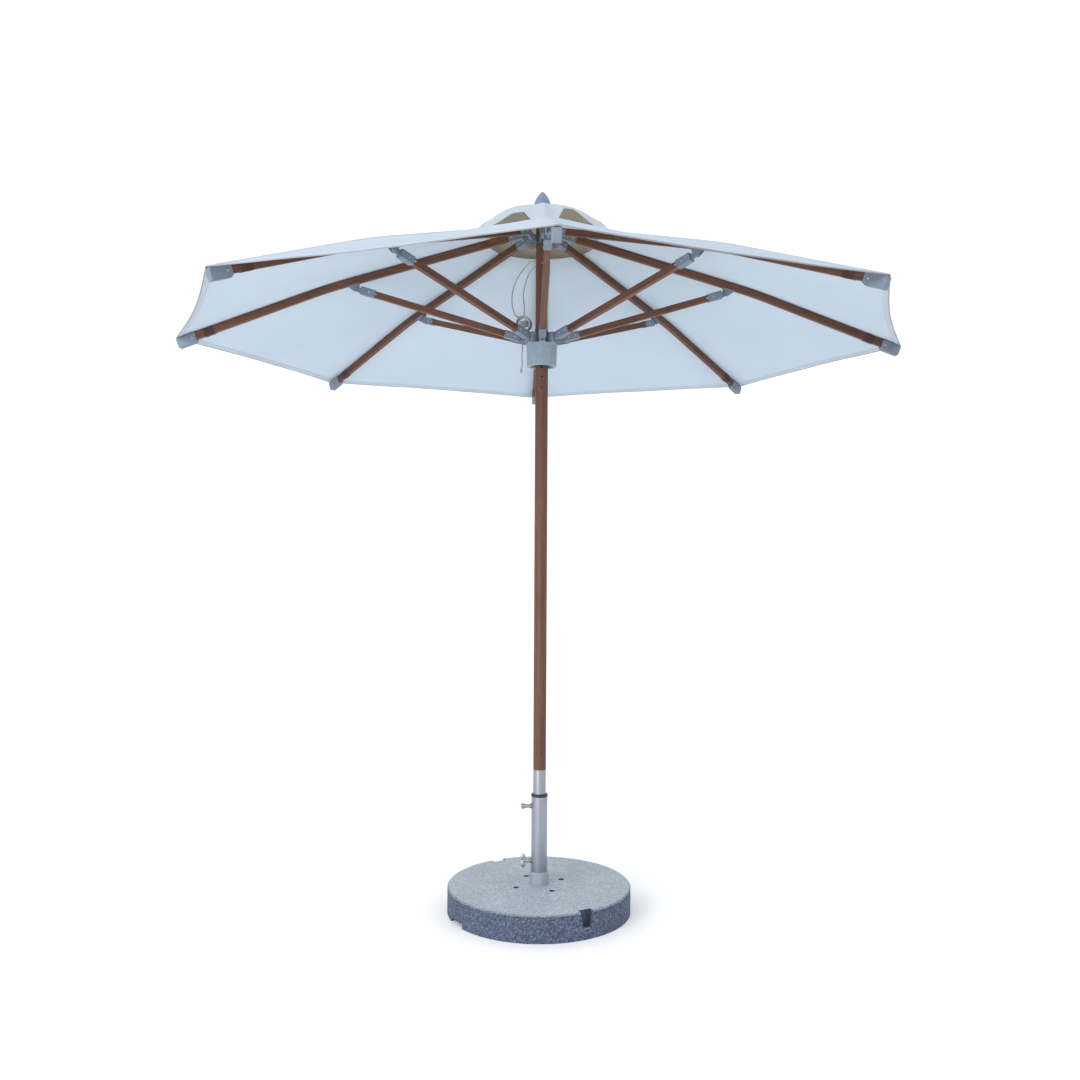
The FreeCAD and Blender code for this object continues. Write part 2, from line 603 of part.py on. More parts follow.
def locking_pin():
    """The pin kept under the runner, behind the pole: stem and round knob, drawn clear of the pole."""
    start = dim("-S.pole_rad - S.pin_gap")
    outwards = Vector(0, -1, 0)
    stem = primitive("Cylinder", "pin_stem_part", lying(0, start, 0, outwards), Radius="S.pin_rad",
                     Height="S.pin_stem")
    knob_at = dim("-S.pole_rad - S.pin_gap - S.pin_stem + 2")
    knob = primitive("Cylinder", "pin_knob_part", lying(0, knob_at, 0, outwards), Radius="S.pin_knob",
                     Height="S.pin_knob_long")
    rounded_end = primitive("Sphere", "pin_end_part", moved(0, knob_at - dim("S.pin_knob_long"), 0),
                            Radius="S.pin_knob - 1")
    solid = joined("locking_pin_solid", [stem, knob, rounded_end])
    return grouped("locking_pin", [solid], turned(180) * moved(up=dim("S.peg_one")))


# ---------------------------------------------------------------- ribs and struts

def rib_master():
    """One rib: a rectangular bar, straight to the strut joint and gently bent after it."""
    body = new_body("rib_master")
    section = outline(body, "section", "YZ_Plane", box_corners(
        "-S.rib_wide / 2", "S.rib_wide / 2", "S.rib_off - S.rib_tall / 2", "S.rib_off + S.rib_tall / 2"),
        lift="S.rib_start")
    start, turn, radius = dim("S.bend_start"), math.radians(dim("S.bend_turn")), dim("S.bend_rad")
    height = dim("S.rib_off")
    middle = Vector(start, height - radius, 0)
    bend_end = middle + Vector(radius * math.sin(turn), radius * math.cos(turn), 0)
    tip = bend_end + Vector(math.cos(turn), -math.sin(turn), 0) * dim("S.tip_straight")
    path = new_sketch(body, "path", "XZ_Plane")
    path.addGeometry(Part.LineSegment(Vector(dim("S.rib_start"), height, 0), Vector(start, height, 0)), False)
    circle = Part.Circle(middle, Vector(0, 0, 1), radius)
    path.addGeometry(Part.ArcOfCircle(circle, math.pi / 2 - turn, math.pi / 2), False)
    path.addGeometry(Part.LineSegment(bend_end, tip), False)
    path.addConstraint(Sketcher.Constraint("Tangent", 0, 2, 1, 2))
    path.addConstraint(Sketcher.Constraint("Tangent", 1, 1, 2, 1))
    path.addConstraint(Sketcher.Constraint("Horizontal", 0))
    fix_point(path, 0, 1, "S.rib_start", "S.rib_off")
    sizes = [(("DistanceX", 0, 1, 0, 2), "S.bend_start - S.rib_start"), (("Radius", 1), "S.bend_rad"),
             (("Distance", 2), "S.tip_straight")]
    for what, expression in sizes:
        number = path.addConstraint(Sketcher.Constraint(*what, dim(expression)))
        path.setExpression(f"Constraints[{number}]", bound(expression))
    number = path.addConstraint(Sketcher.Constraint("Angle", 1, turn))
    path.setExpression(f"Constraints[{number}]", bound("S.bend_turn * 1 deg"))
    doc.recompute()
    bar = body.newObject("PartDesign::AdditivePipe", "rib_master_bar")
    bar.Profile = section
    bar.Spine = path
    doc.recompute()
    rounded(body, "round", lambda edge: edge.Length > 4 * dim("S.rib_tall"), "S.rib_round")
    return body


def rib_tip_place():
    """The rib's end in the rib's own frame, turned with its last straight stretch."""
    turn, radius = math.radians(dim("S.bend_turn")), dim("S.bend_rad")
    across = dim("S.bend_start") + radius * math.sin(turn) + dim("S.tip_straight") * math.cos(turn)
    up = dim("S.rib_off") - radius * (1 - math.cos(turn)) - dim("S.tip_straight") * math.sin(turn)
    return moved(across, 0, up) * tilted(dim("S.bend_turn"))


def tip_cap():
    """The moulded cap on a rib's tip, with a socket for the wood and a rivet across it."""
    body = new_body("tip_cap")
    side = outline(body, "side", "XZ_Plane", [
        ("-S.cap_back", "-S.cap_down + 6"), ("-S.cap_back + 10", "-S.cap_down"), ("S.cap_over", "-S.cap_down"),
        ("S.cap_over", "S.cap_up"), ("-S.cap_back", "S.cap_up")])
    padded(body, "block", side, "S.cap_wide")
    end = dim("S.cap_over")
    rounded(body, "end_round", lambda edge: along_y(edge) and abs(edge.Vertexes[0].Point.x - end) < 1e-6,
            "S.cap_over / 3")
    rounded(body, "edge_round", lambda edge: not along_y(edge) and edge.Vertexes[0].Point.z < 0
            and edge.Vertexes[-1].Point.z < 0, "S.rib_round")
    socket = outline(body, "socket", "YZ_Plane", box_corners(
        "-S.rib_wide / 2 - S.socket_gap", "S.rib_wide / 2 + S.socket_gap",
        "-S.rib_tall / 2 - S.socket_gap", "S.rib_tall / 2 + S.socket_gap"), lift="-S.cap_back")
    pocketed(body, "socket_cut", socket, "2 * (S.cap_back + S.socket_gap)")
    body.Placement = rib_tip_place()
    return body


def hollow_sleeve(name, low, high, wide, tall, centre):
    """A square sleeve along X over the wood, closed at its low end."""
    sleeve = primitive("Box", f"{name}_block", moved(dim(low), -dim(wide) / 2 - dim("S.sleeve_wall"),
                       dim(centre) - dim(tall) / 2 - dim("S.sleeve_wall")),
                       Length=f"{high} - ({low})", Width=f"{wide} + 2 * S.sleeve_wall",
                       Height=f"{tall} + 2 * S.sleeve_wall")
    start = dim(low) + dim("S.socket_floor")
    gap = dim("S.socket_gap")
    socket = primitive("Box", f"{name}_socket", moved(start, -dim(wide) / 2 - gap,
                       dim(centre) - dim(tall) / 2 - gap),
                       Length=f"{high} - ({low}) - S.socket_floor + 1", Width=f"{wide} + 2 * S.socket_gap",
                       Height=f"{tall} + 2 * S.socket_gap")
    return sleeve, socket


def across_pin(name, at, radius, length):
    """A cylinder along Y through a pivot on the X axis."""
    return primitive("Cylinder", name, lying(dim(at), -dim(length) / 2, 0, Vector(0, 1, 0)),
                     Radius=radius, Height=length)


def hub_fitting():
    """The rib's inner fitting: a tongue from the hub pivot up to the sleeve on the wood."""
    body = new_body("hub_tongue")
    top = "S.rib_off + S.rib_tall / 2"
    plate = outline(body, "plate", "XZ_Plane", [
        ("-S.tongue_half", "-S.tongue_half"), ("S.tongue_half - 1", "-S.tongue_half"),
        ("S.hub_sleeve_at + 1", "S.rib_off - S.rib_tall / 2"), ("S.hub_sleeve_at + 1", top),
        ("S.hub_sleeve_at - 4", top), ("-S.tongue_half", "S.tongue_half - 1")])
    padded(body, "plate_pad", plate, "S.tongue_wide")
    low = dim("-S.tongue_half")
    rounded(body, "pivot_round", lambda edge: along_y(edge) and abs(edge.Vertexes[0].Point.x - low) < 1e-6,
            "S.tongue_half / 2")
    sleeve, socket = hollow_sleeve("hub_fitting", "S.hub_sleeve_at", "S.hub_sleeve_end", "S.rib_wide",
                                   "S.rib_tall", "S.rib_off")
    bore = across_pin("hub_fitting_bore", "0", "S.hinge_bore", "4 * S.tongue_wide")
    return cut("hub_fitting", joined("hub_fitting_blank", [body, sleeve]), [socket, bore])


def rib_bracket():
    """The bracket screwed under a rib, with two ears for the strut's pin."""
    body = new_body("rib_bracket")
    under = "S.rib_off - S.rib_tall / 2 - 0.1"
    plate_low = f"{under} - S.bracket_plate"
    side = outline(body, "side", "XZ_Plane", [
        ("S.link_long - S.bracket_half", under), ("S.link_long - S.bracket_half", plate_low),
        ("S.link_long - S.tongue_half", "-S.tongue_half / 2"), ("S.link_long - S.tongue_half / 2", "-S.tongue_half"),
        ("S.link_long + S.tongue_half / 2", "-S.tongue_half"), ("S.link_long + S.tongue_half", "-S.tongue_half / 2"),
        ("S.link_long + S.bracket_half", plate_low), ("S.link_long + S.bracket_half", under)])
    padded(body, "block", side, "S.bracket_wide")
    gap = outline(body, "gap", "XZ_Plane", box_corners(
        "S.link_long - 2 * S.bracket_half", "S.link_long + 2 * S.bracket_half", "-2 * S.tongue_half", plate_low))
    pocketed(body, "gap_cut", gap, "S.bracket_slit")
    hole = round_outline(body, "hole", "XZ_Plane", "S.link_long", "0", "S.joint_bore")
    pocketed(body, "hole_cut", hole, "2 * S.bracket_wide")
    return body


def joint_pin():
    """The headed pin through the bracket's ears."""
    shank = across_pin("joint_pin_shank", "S.link_long", "S.joint_rad", "S.joint_long")
    heads = []
    for side, start in (("left", "-S.joint_long / 2 - 1"), ("right", "S.joint_long / 2 - 1")):
        heads.append(primitive("Cylinder", f"joint_pin_head_{side}",
                               lying(dim("S.link_long"), dim(start), 0, Vector(0, 1, 0)),
                               Radius="S.joint_rad + 2", Height="2"))
    return joined("joint_pin", [shank] + heads)


def strut_master():
    """One strut: a straight bar with rounded edges between its two fittings."""
    body = new_body("strut_master")
    section = outline(body, "section", "YZ_Plane", box_corners(
        "-S.strut_wide / 2", "S.strut_wide / 2", "-S.strut_tall / 2", "S.strut_tall / 2"),
        lift="(S.link_long + S.inner_tongue - S.outer_tongue) / 2")
    padded(body, "bar", section,
           "S.link_long - S.inner_tongue - S.outer_tongue - 2 * S.socket_floor - 2 * S.socket_gap")
    rounded(body, "round", lambda edge: edge.Length > 4 * dim("S.strut_tall"), "S.strut_round")
    return body


def strut_end(name, tongue, sleeve_long):
    """A strut fitting at the origin, pointing along +X: tongue with a round end, then a sleeve."""
    plate = primitive("Box", f"{name}_plate", moved(0, dim("-S.tongue_wide") / 2, dim("-S.tongue_half")),
                      Length=f"{tongue} + 1", Width="S.tongue_wide", Height="2 * S.tongue_half")
    nose = across_pin(f"{name}_nose", "0", "S.tongue_half", "S.tongue_wide")
    sleeve, socket = hollow_sleeve(name, tongue, f"{tongue} + {sleeve_long}", "S.strut_wide", "S.strut_tall",
                                   "0")
    return plate, nose, sleeve, socket


def strut_fitting_pair():
    """Both fittings of a strut, in the strut's frame."""
    plate, nose, sleeve, socket = strut_end("runner_end", "S.inner_tongue", "S.inner_sleeve")
    bore = across_pin("runner_end_bore", "0", "S.hinge_bore", "4 * S.tongue_wide")
    inner = cut("runner_end", joined("runner_end_blank", [plate, nose, sleeve]), [socket, bore])
    plate, nose, sleeve, socket = strut_end("rib_end", "S.outer_tongue", "S.outer_sleeve")
    bore = across_pin("rib_end_bore", "0", "S.joint_bore", "4 * S.tongue_wide")
    outer = cut("rib_end", joined("rib_end_blank", [plate, nose, sleeve]), [socket, bore])
    outer.Placement = moved(dim("S.link_long")) * turned(180)
    return [inner, outer]


# ---------------------------------------------------------------- canopy

def rib_top_line():
    """Radius and height of points on a rib's upper face, from the hub to the tip, at rest."""
    turn, radius = math.radians(dim("S.bend_turn")), dim("S.bend_rad")
    lift = dim("S.rib_off + S.rib_tall / 2")
    start = dim("S.bend_start")
    flat = [(start * step / 3, lift) for step in range(4)]
    crown = radius + dim("S.rib_tall") / 2
    bend = [(start + crown * math.sin(turn * step / 4), lift - crown * (1 - math.cos(turn * step / 4)))
            for step in range(1, 5)]
    reach = dim("S.tip_straight + S.cap_over")
    end = (bend[-1][0] + reach * math.cos(turn), bend[-1][1] - reach * math.sin(turn))
    place = moved(dim("S.ring_circle"), 0, dim("S.hub_at")) * tilted(OPEN_ANGLE)
    points = [place.multVec(Vector(across, 0, up)) for across, up in flat + bend + [end]]
    return [(point.x, point.z) for point in points]


def height_on(line, radius):
    """The height of a line of (radius, height) points at a radius, straight between them."""
    for (near, near_height), (far, far_height) in zip(line, line[1:]):
        if near <= radius <= far:
            return near_height + (far_height - near_height) * (radius - near) / (far - near)
    raise ValueError(f"radius {radius} is off the line")


def cloth_solid(stations, half_angle, thickness, side_gap):
    """A closed cloth solid with a ridge along +X and two flat halves, given (radius, height) stations.

    Each half reaches the middle of its panel, where the cloth spans straight from rib to rib.
    """
    middle = math.cos(half_angle)
    rows = []
    for radius, height in stations:
        reach = radius * middle
        side = Vector(reach * math.cos(half_angle), reach * math.sin(half_angle), height)
        inward = Vector(math.sin(half_angle), -math.cos(half_angle), 0) * side_gap
        left = side + inward
        right = Vector(left.x, -left.y, left.z)
        rows.append([left, Vector(radius, 0, height), right])
    drop = Vector(0, 0, -thickness)
    faces = []
    for first, second in zip(rows, rows[1:]):
        for here, beyond in ((0, 1), (1, 2)):
            quad = [first[here], first[beyond], second[beyond], second[here], first[here]]
            faces.append(Part.Face(Part.makePolygon(quad)))
            faces.append(Part.Face(Part.makePolygon([point + drop for point in quad])))
        for edge in (0, 2):
            wall = [first[edge], second[edge], second[edge] + drop, first[edge] + drop, first[edge]]
            faces.append(Part.Face(Part.makePolygon(wall)))
    for row in (rows[0], rows[-1]):
        for here, beyond in ((0, 1), (1, 2)):
            wall = [row[here], row[beyond], row[beyond] + drop, row[here] + drop, row[here]]
            faces.append(Part.Face(Part.makePolygon(wall)))
    shell = Part.Shell(faces)
    shell.sewShape()
    return Part.Solid(shell)


def placed_shape(name, shape, place):
    """A sub-part whose shape is built directly, put in its place afterwards."""
    item = doc.addObject("Part::Feature", name)
    item.Label = name
    item.Shape = shape
    item.Placement = place
    return item


def gore_shape():
    """One gore of the main canopy, centred on a rib, from the top opening to the tip."""
    line = rib_top_line()
    lift = dim("S.cloth + S.cloth_gap") / math.cos(math.radians(OPEN_ANGLE + dim("S.bend_turn")))
    inner = dim("S.canopy_in")
    stations = [(inner, height_on(line, inner) + lift)]
    stations += [(radius, height + lift) for radius, height in line if radius > inner + 1]
    tip, tip_height = stations[-1]
    stations[-1] = (tip, tip_height + dim("S.cap_lift"))
    return cloth_solid(stations, math.radians(SPACING / 2), dim("S.cloth"), dim("S.gore_gap"))


def vent_cap():
    """The vent cap over the opening: an eight-sided dome with its own top hole, as one closed solid."""
    steps = 6
    inner, outer = dim("S.vent_in"), dim("S.vent_out")
    top, low, bulge = dim("S.vent_top"), dim("S.vent_low"), dim("S.vent_bulge")
    stations = []
    for step in range(steps + 1):
        part = step / steps
        stations.append((inner + (outer - inner) * part,
                         top + (low - top) * part + bulge * math.sin(math.pi * part)))
    gores = []
    for number in range(RIBS):
        gore = cloth_solid(stations, math.radians(SPACING / 2), dim("S.cloth"), 0.0)
        gore.Placement = turned(NEAR_RIB + SPACING * number)
        gores.append(gore)
    dome = gores[0].multiFuse(gores[1:]).removeSplitter()
    return placed_shape("vent_cap", dome, Placement())


# ---------------------------------------------------------------- rope

def rope_path(points):
    """Straight runs joined by tangent arcs, each as large as its two runs allow."""
    edges = []
    here = points[0]
    for before, corner, after in zip(points, points[1:], points[2:]):
        arriving = (corner - before).normalize()
        leaving = (after - corner).normalize()
        turn = arriving.getAngle(leaving)
        reach = 0.45 * min((corner - before).Length, (after - corner).Length)
        radius = reach / math.tan(turn / 2)
        start, end = corner - arriving * reach, corner + leaving * reach
        sideways = (leaving - arriving).normalize()
        middle = corner + sideways * (radius / math.cos(turn / 2) - radius)
        print(f"rope turn {math.degrees(turn):.0f} deg, radius {radius:.0f} mm")
        if (start - here).Length > 1e-6:
            edges.append(Part.LineSegment(here, start).toShape())
        edges.append(Part.Arc(start, middle, end).toShape())
        here = end
    edges.append(Part.LineSegment(here, points[-1]).toShape())
    return Part.Wire(edges)


def rope_tube(points):
    """A round tube along the route."""
    wire = rope_path(points)
    heading = points[1] - points[0]
    radius = dim("S.rope_rad")
    ring = Part.Wire([Part.makeCircle(radius, points[0], heading)])
    tube = wire.makePipeShell([ring], True, True, 2)
    expected = math.pi * radius ** 2 * wire.Length
    print(f"rope length {wire.Length:.0f} mm, volume ratio {tube.Volume / expected:.3f}")
    return tube


def in_gap(out, aside, height):
    """A point in the sector where the rope hangs: distance out from the pole, aside, and height."""
    return turned(GAP_AZIMUTH).multVec(Vector(out, aside, height))


def rope_line():
    """The free stretches of the rope: two strands from the slot to the hank, the tail, and the lift line."""
    fall = [Vector(-20, 0, 2443), Vector(-45, 3, 2447), in_gap(74, -6, 2428), in_gap(104, -6, 2394),
            in_gap(122, -5, 2350), in_gap(127, -4, 2303), in_gap(119, -3, 2266), in_gap(107, -2, 2241)]
    back = [Vector(-20, 0, 2424), Vector(-40, 5, 2418), in_gap(58, 4, 2390), in_gap(72, 5, 2348),
            in_gap(75, 5, 2310), in_gap(70, 4, 2277), in_gap(71, 4, 2251)]
    tail = [in_gap(74, 0, 2167), in_gap(79, 2, 2143), in_gap(77, 3, 2115), in_gap(82, 1, 2087),
            in_gap(79, -2, 2061), in_gap(84, -1, 2036)]
    lift = [Vector(20, 0, 2426), Vector(30, -4, 2414), Vector(27, -14, 2380), Vector(22, -19, 2330),
            Vector(21.5, -20, 2275), Vector(21, -19.5, 2220), Vector(21, -20, 2170)]
    tubes = [rope_tube(route) for route in (fall, back, tail, lift)]
    return placed_shape("rope_line", Part.Compound(tubes), Placement())


def rope_hank():
    """The outer shape of the tied hank."""
    solid = primitive("Ellipsoid", "hank_solid", Radius1="S.hank_tall", Radius2="S.hank_out",
                      Radius3="S.hank_across")
    place = turned(GAP_AZIMUTH) * moved(dim("S.hank_at"), 0, dim("S.hank_height"))
    return grouped("rope_hank", [solid], place)


# ---------------------------------------------------------------- the whole umbrella

def build():
    """Makes every sub-part and returns them."""
    parts = [granite_base(), anchor_plate(), anchor_bolts(), base_collar(), base_tube(), tube_top_ring(),
             thumbscrew("thumbscrew_upper", dim("S.screw_upper"), UPPER_WING),
             thumbscrew("thumbscrew_lower", dim("S.screw_lower"), 0),
             pole_wood(), pole_sleeve(), top_hub(), pole_pins(), pulley_sheave(), finial(),
             runner(), grouped("runner_pins", ring_of_pins("runner_pin", dim("S.runner_at"))),
             locking_pin(), vent_cap(), rope_line(), rope_hank()]
    rib, strut = rib_master(), strut_master()
    rib_fittings = [tip_cap(), hub_fitting(), rib_bracket(), joint_pin()]
    strut_fittings = strut_fitting_pair()
    gore = gore_shape()
    for number in range(1, RIBS + 1):
        azimuth = NEAR_RIB + SPACING * (number - 1)
        parts.append(grouped(f"rib_{number}", [rib], rib_place(azimuth)))
        parts.append(grouped(f"rib_fittings_{number}", rib_fittings, rib_place(azimuth)))
        parts.append(grouped(f"strut_{number}", [strut], strut_place(azimuth)))
        parts.append(grouped(f"strut_fittings_{number}", strut_fittings, strut_place(azimuth)))
        parts.append(placed_shape(f"canopy_gore_{number}", gore, turned(azimuth)))
    return parts


def check(parts):
    """Stops if anything in the document failed."""
    for item in doc.Objects:
        if "Invalid" in item.State or "Error" in item.State:
            raise RuntimeError(f"{item.Label} failed: {item.State}")
    for part in parts:
        if part.Shape.isNull() or not part.Shape.isValid() or not part.Shape.Solids:
            raise RuntimeError(f"{part.Label} has no valid solid")


umbrella = build()
doc.recompute()
check(umbrella)
os.makedirs("parts", exist_ok=True)
for piece in umbrella:
    piece.Shape.exportStep(os.path.join("parts", f"{piece.Label}.step"))
print(f"{len(umbrella)} sub-parts written")
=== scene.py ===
"""Looks of the market umbrella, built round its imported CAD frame. Metres, same frame as the CAD."""
import json
import math

import bpy
from mathutils import Matrix, Vector, noise


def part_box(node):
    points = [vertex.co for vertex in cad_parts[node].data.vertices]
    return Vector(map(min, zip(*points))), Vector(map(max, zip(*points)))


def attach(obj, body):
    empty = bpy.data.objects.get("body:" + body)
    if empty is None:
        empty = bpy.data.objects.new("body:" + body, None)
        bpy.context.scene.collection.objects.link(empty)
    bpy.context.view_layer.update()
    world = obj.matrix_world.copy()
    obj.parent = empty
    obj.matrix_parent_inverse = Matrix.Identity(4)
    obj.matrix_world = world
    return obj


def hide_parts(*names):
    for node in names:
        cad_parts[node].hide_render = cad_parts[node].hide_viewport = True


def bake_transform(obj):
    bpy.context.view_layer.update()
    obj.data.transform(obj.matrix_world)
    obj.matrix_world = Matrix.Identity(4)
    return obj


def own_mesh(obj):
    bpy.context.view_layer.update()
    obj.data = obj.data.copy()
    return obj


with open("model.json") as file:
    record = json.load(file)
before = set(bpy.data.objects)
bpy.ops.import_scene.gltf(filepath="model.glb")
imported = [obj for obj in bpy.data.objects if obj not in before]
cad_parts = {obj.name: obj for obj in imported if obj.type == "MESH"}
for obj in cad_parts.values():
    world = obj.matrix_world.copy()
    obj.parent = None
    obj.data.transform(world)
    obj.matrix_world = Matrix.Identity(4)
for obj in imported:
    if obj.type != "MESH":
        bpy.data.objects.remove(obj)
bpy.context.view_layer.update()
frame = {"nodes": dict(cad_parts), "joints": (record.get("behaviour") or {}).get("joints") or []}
NODES = frame["nodes"]
JOINTS = {joint["name"]: joint for joint in frame["joints"]}

RIBS = 8
SPACING = 2 * math.pi / RIBS
NEAR_RIB = -math.pi / 2
HALF = SPACING / 2


# ---------------------------------------------------------------- camera, light, stage

CAMERA_DISTANCE = 3.83
CAMERA_HEIGHT = 1.34
CAMERA_AZIMUTH = math.radians(-1.5)
CAMERA_PITCH = math.radians(0.72)
CAMERA_ROLL = math.radians(0.3)
CAMERA_LENS = 33.8
CAMERA_SHIFT = -0.0007


def make_camera():
    data = bpy.data.cameras.new("camera")
    data.lens = CAMERA_LENS
    data.sensor_width = 36
    data.shift_x = CAMERA_SHIFT
    camera = bpy.data.objects.new("camera", data)
    bpy.context.scene.collection.objects.link(camera)
    sine, cosine = math.sin(CAMERA_AZIMUTH), math.cos(CAMERA_AZIMUTH)
    camera.location = (CAMERA_DISTANCE * sine, -CAMERA_DISTANCE * cosine, CAMERA_HEIGHT)
    ahead = Vector((-sine * math.cos(CAMERA_PITCH), cosine * math.cos(CAMERA_PITCH), math.sin(CAMERA_PITCH)))
    camera.rotation_mode = "QUATERNION"
    roll = Matrix.Rotation(CAMERA_ROLL, 4, "Z").to_quaternion()
    camera.rotation_quaternion = ahead.to_track_quat("-Z", "Y") @ roll
    bpy.context.scene.camera = camera


def area_light(name, place, target, size, power, colour):
    data = bpy.data.lights.new(name, "AREA")
    data.size = size
    data.energy = power
    data.color = colour
    lamp = bpy.data.objects.new(name, data)
    bpy.context.scene.collection.objects.link(lamp)
    lamp.location = place
    lamp.rotation_mode = "QUATERNION"
    lamp.rotation_quaternion = (Vector(target) - Vector(place)).to_track_quat("-Z", "Y")


def make_lights():
    world = bpy.data.worlds.new("studio")
    world.use_nodes = True
    background = world.node_tree.nodes["Background"]
    background.inputs["Color"].default_value = (0.96, 0.98, 1.0, 1)
    background.inputs["Strength"].default_value = 1.12
    bpy.context.scene.world = world
    bpy.context.scene.view_settings.view_transform = "Standard"
    area_light("key", (-4.5, -5.0, 3.6), (0, 0, 1.5), 3.0, 160, (1.0, 0.99, 0.97))
    area_light("low_fill", (-2.2, -3.6, 0.5), (0, 0.2, 2.3), 2.5, 60, (0.95, 0.98, 1.0))


# ---------------------------------------------------------------- materials

# Colour of the painted shade in the hollows near the pole's axis, and its share of the mix there.
CORE_PAINTED_SHADE = (0.02, 0.025, 0.032)
CORE_SHARE = 0.72


class Nodes:
    """Short calls for building one material's node tree."""

    def __init__(self, name, **sockets):
        self.material = bpy.data.materials.new(name)
        self.material.use_nodes = True
        self.tree = self.material.node_tree
        self.shader = self.tree.nodes["Principled BSDF"]
        for socket, value in sockets.items():
            self.put(self.shader.inputs[socket.replace("_", " ")], value)

    def put(self, socket, value):
        if isinstance(value, bpy.types.NodeSocket):
            self.tree.links.new(value, socket)
        elif hasattr(value, "__len__") and len(value) == 3 and socket.type == "RGBA":
            socket.default_value = (*value, 1)
        else:
            socket.default_value = value

    def add(self, kind, inputs=(), **settings):
        node = self.tree.nodes.new(f"ShaderNode{kind}")
        for name, value in settings.items():
            setattr(node, name, value)
        for name, value in dict(inputs).items():
            self.put(node.inputs[name], value)
        return node

    def place(self, scale=(1, 1, 1), kind="Object"):
        """Coordinates of the surface point, scaled."""
        coordinates = self.add("TexCoord").outputs[kind]
        return self.add("Mapping", {"Vector": coordinates, "Scale": scale}).outputs["Vector"]

    def radius(self):
        """Distance from the pole's axis, in metres."""
        level = self.place((1, 1, 0))
        return self.add("VectorMath", {0: level}, operation="LENGTH").outputs["Value"]

    def paint_core_shade(self, colour, shade_radius):
        """Paints shade into a colour inside a radius about the pole's axis."""
        inner = self.math("LESS_THAN", self.radius(), shade_radius)
        return self.mix(self.math("MULTIPLY", inner, CORE_SHARE), colour, CORE_PAINTED_SHADE)

    def along(self, direction, across_scale, along_scale):
        """Coordinates stretched along a direction, for grain."""
        point = self.add("TexCoord").outputs["Object"]
        ahead = Vector(direction).normalized()
        side = ahead.orthogonal().normalized()
        other = ahead.cross(side)
        parts = []
        for axis, scale in ((side, across_scale), (other, across_scale), (ahead, along_scale)):
            dot = self.add("VectorMath", {0: point, 1: tuple(axis * scale)}, operation="DOT_PRODUCT")
            parts.append(dot.outputs["Value"])
        return self.add("CombineXYZ", {"X": parts[0], "Y": parts[1], "Z": parts[2]}).outputs["Vector"]

    def noise(self, vector, scale=1.0, detail=4.0, rough=0.55, distort=0.0):
        return self.add("TexNoise", {"Vector": vector, "Scale": scale, "Detail": detail,
                                     "Roughness": rough, "Distortion": distort}).outputs["Fac"]

    def cells(self, vector, scale, output="Color", **settings):
        return self.add("TexVoronoi", {"Vector": vector, "Scale": scale}, **settings).outputs[output]

    def ramp(self, factor, stops):
        """A colour ramp through (position, colour) stops."""
        node = self.add("ValToRGB", {"Fac": factor})
        elements = node.color_ramp.elements
        while len(elements) < len(stops):
            elements.new(0.5)
        for element, (position, colour) in zip(elements, stops):
            element.position = position
            element.color = (*colour, 1) if hasattr(colour, "__len__") else (colour, colour, colour, 1)
        return node.outputs["Color"]

    def mix(self, factor, first, second, blend="MIX"):
        node = self.add("Mix", data_type="RGBA", blend_type=blend)
        self.put(node.inputs[0], factor)
        self.put(node.inputs[6], first)
        self.put(node.inputs[7], second)
        return node.outputs[2]

    def math(self, operation, first, second=0.0):
        return self.add("Math", {0: first, 1: second}, operation=operation).outputs[0]

    def span(self, factor, low, high):
        """Maps 0..1 to low..high."""
        return self.add("MapRange", {"Value": factor, "To Min": low, "To Max": high}).outputs["Result"]

    def bump(self, height, depth, strength=1.0, normal=None):
        inputs = {"Height": height, "Distance": depth, "Strength": strength}
        if normal is not None:
            inputs["Normal"] = normal
        return self.add("Bump", inputs).outputs["Normal"]

    def finish(self, colour=None, rough=None, normal=None):
        for socket, value in (("Base Color", colour), ("Roughness", rough), ("Normal", normal)):
            if value is not None:
                self.put(self.shader.inputs[socket], value)
        return self.material


# Painted shade darkens the granite in its pockets: further than this below its top and in from its rim.
POCKET_SHADE_DOWN, POCKET_SHADE_IN = 0.004, 0.012


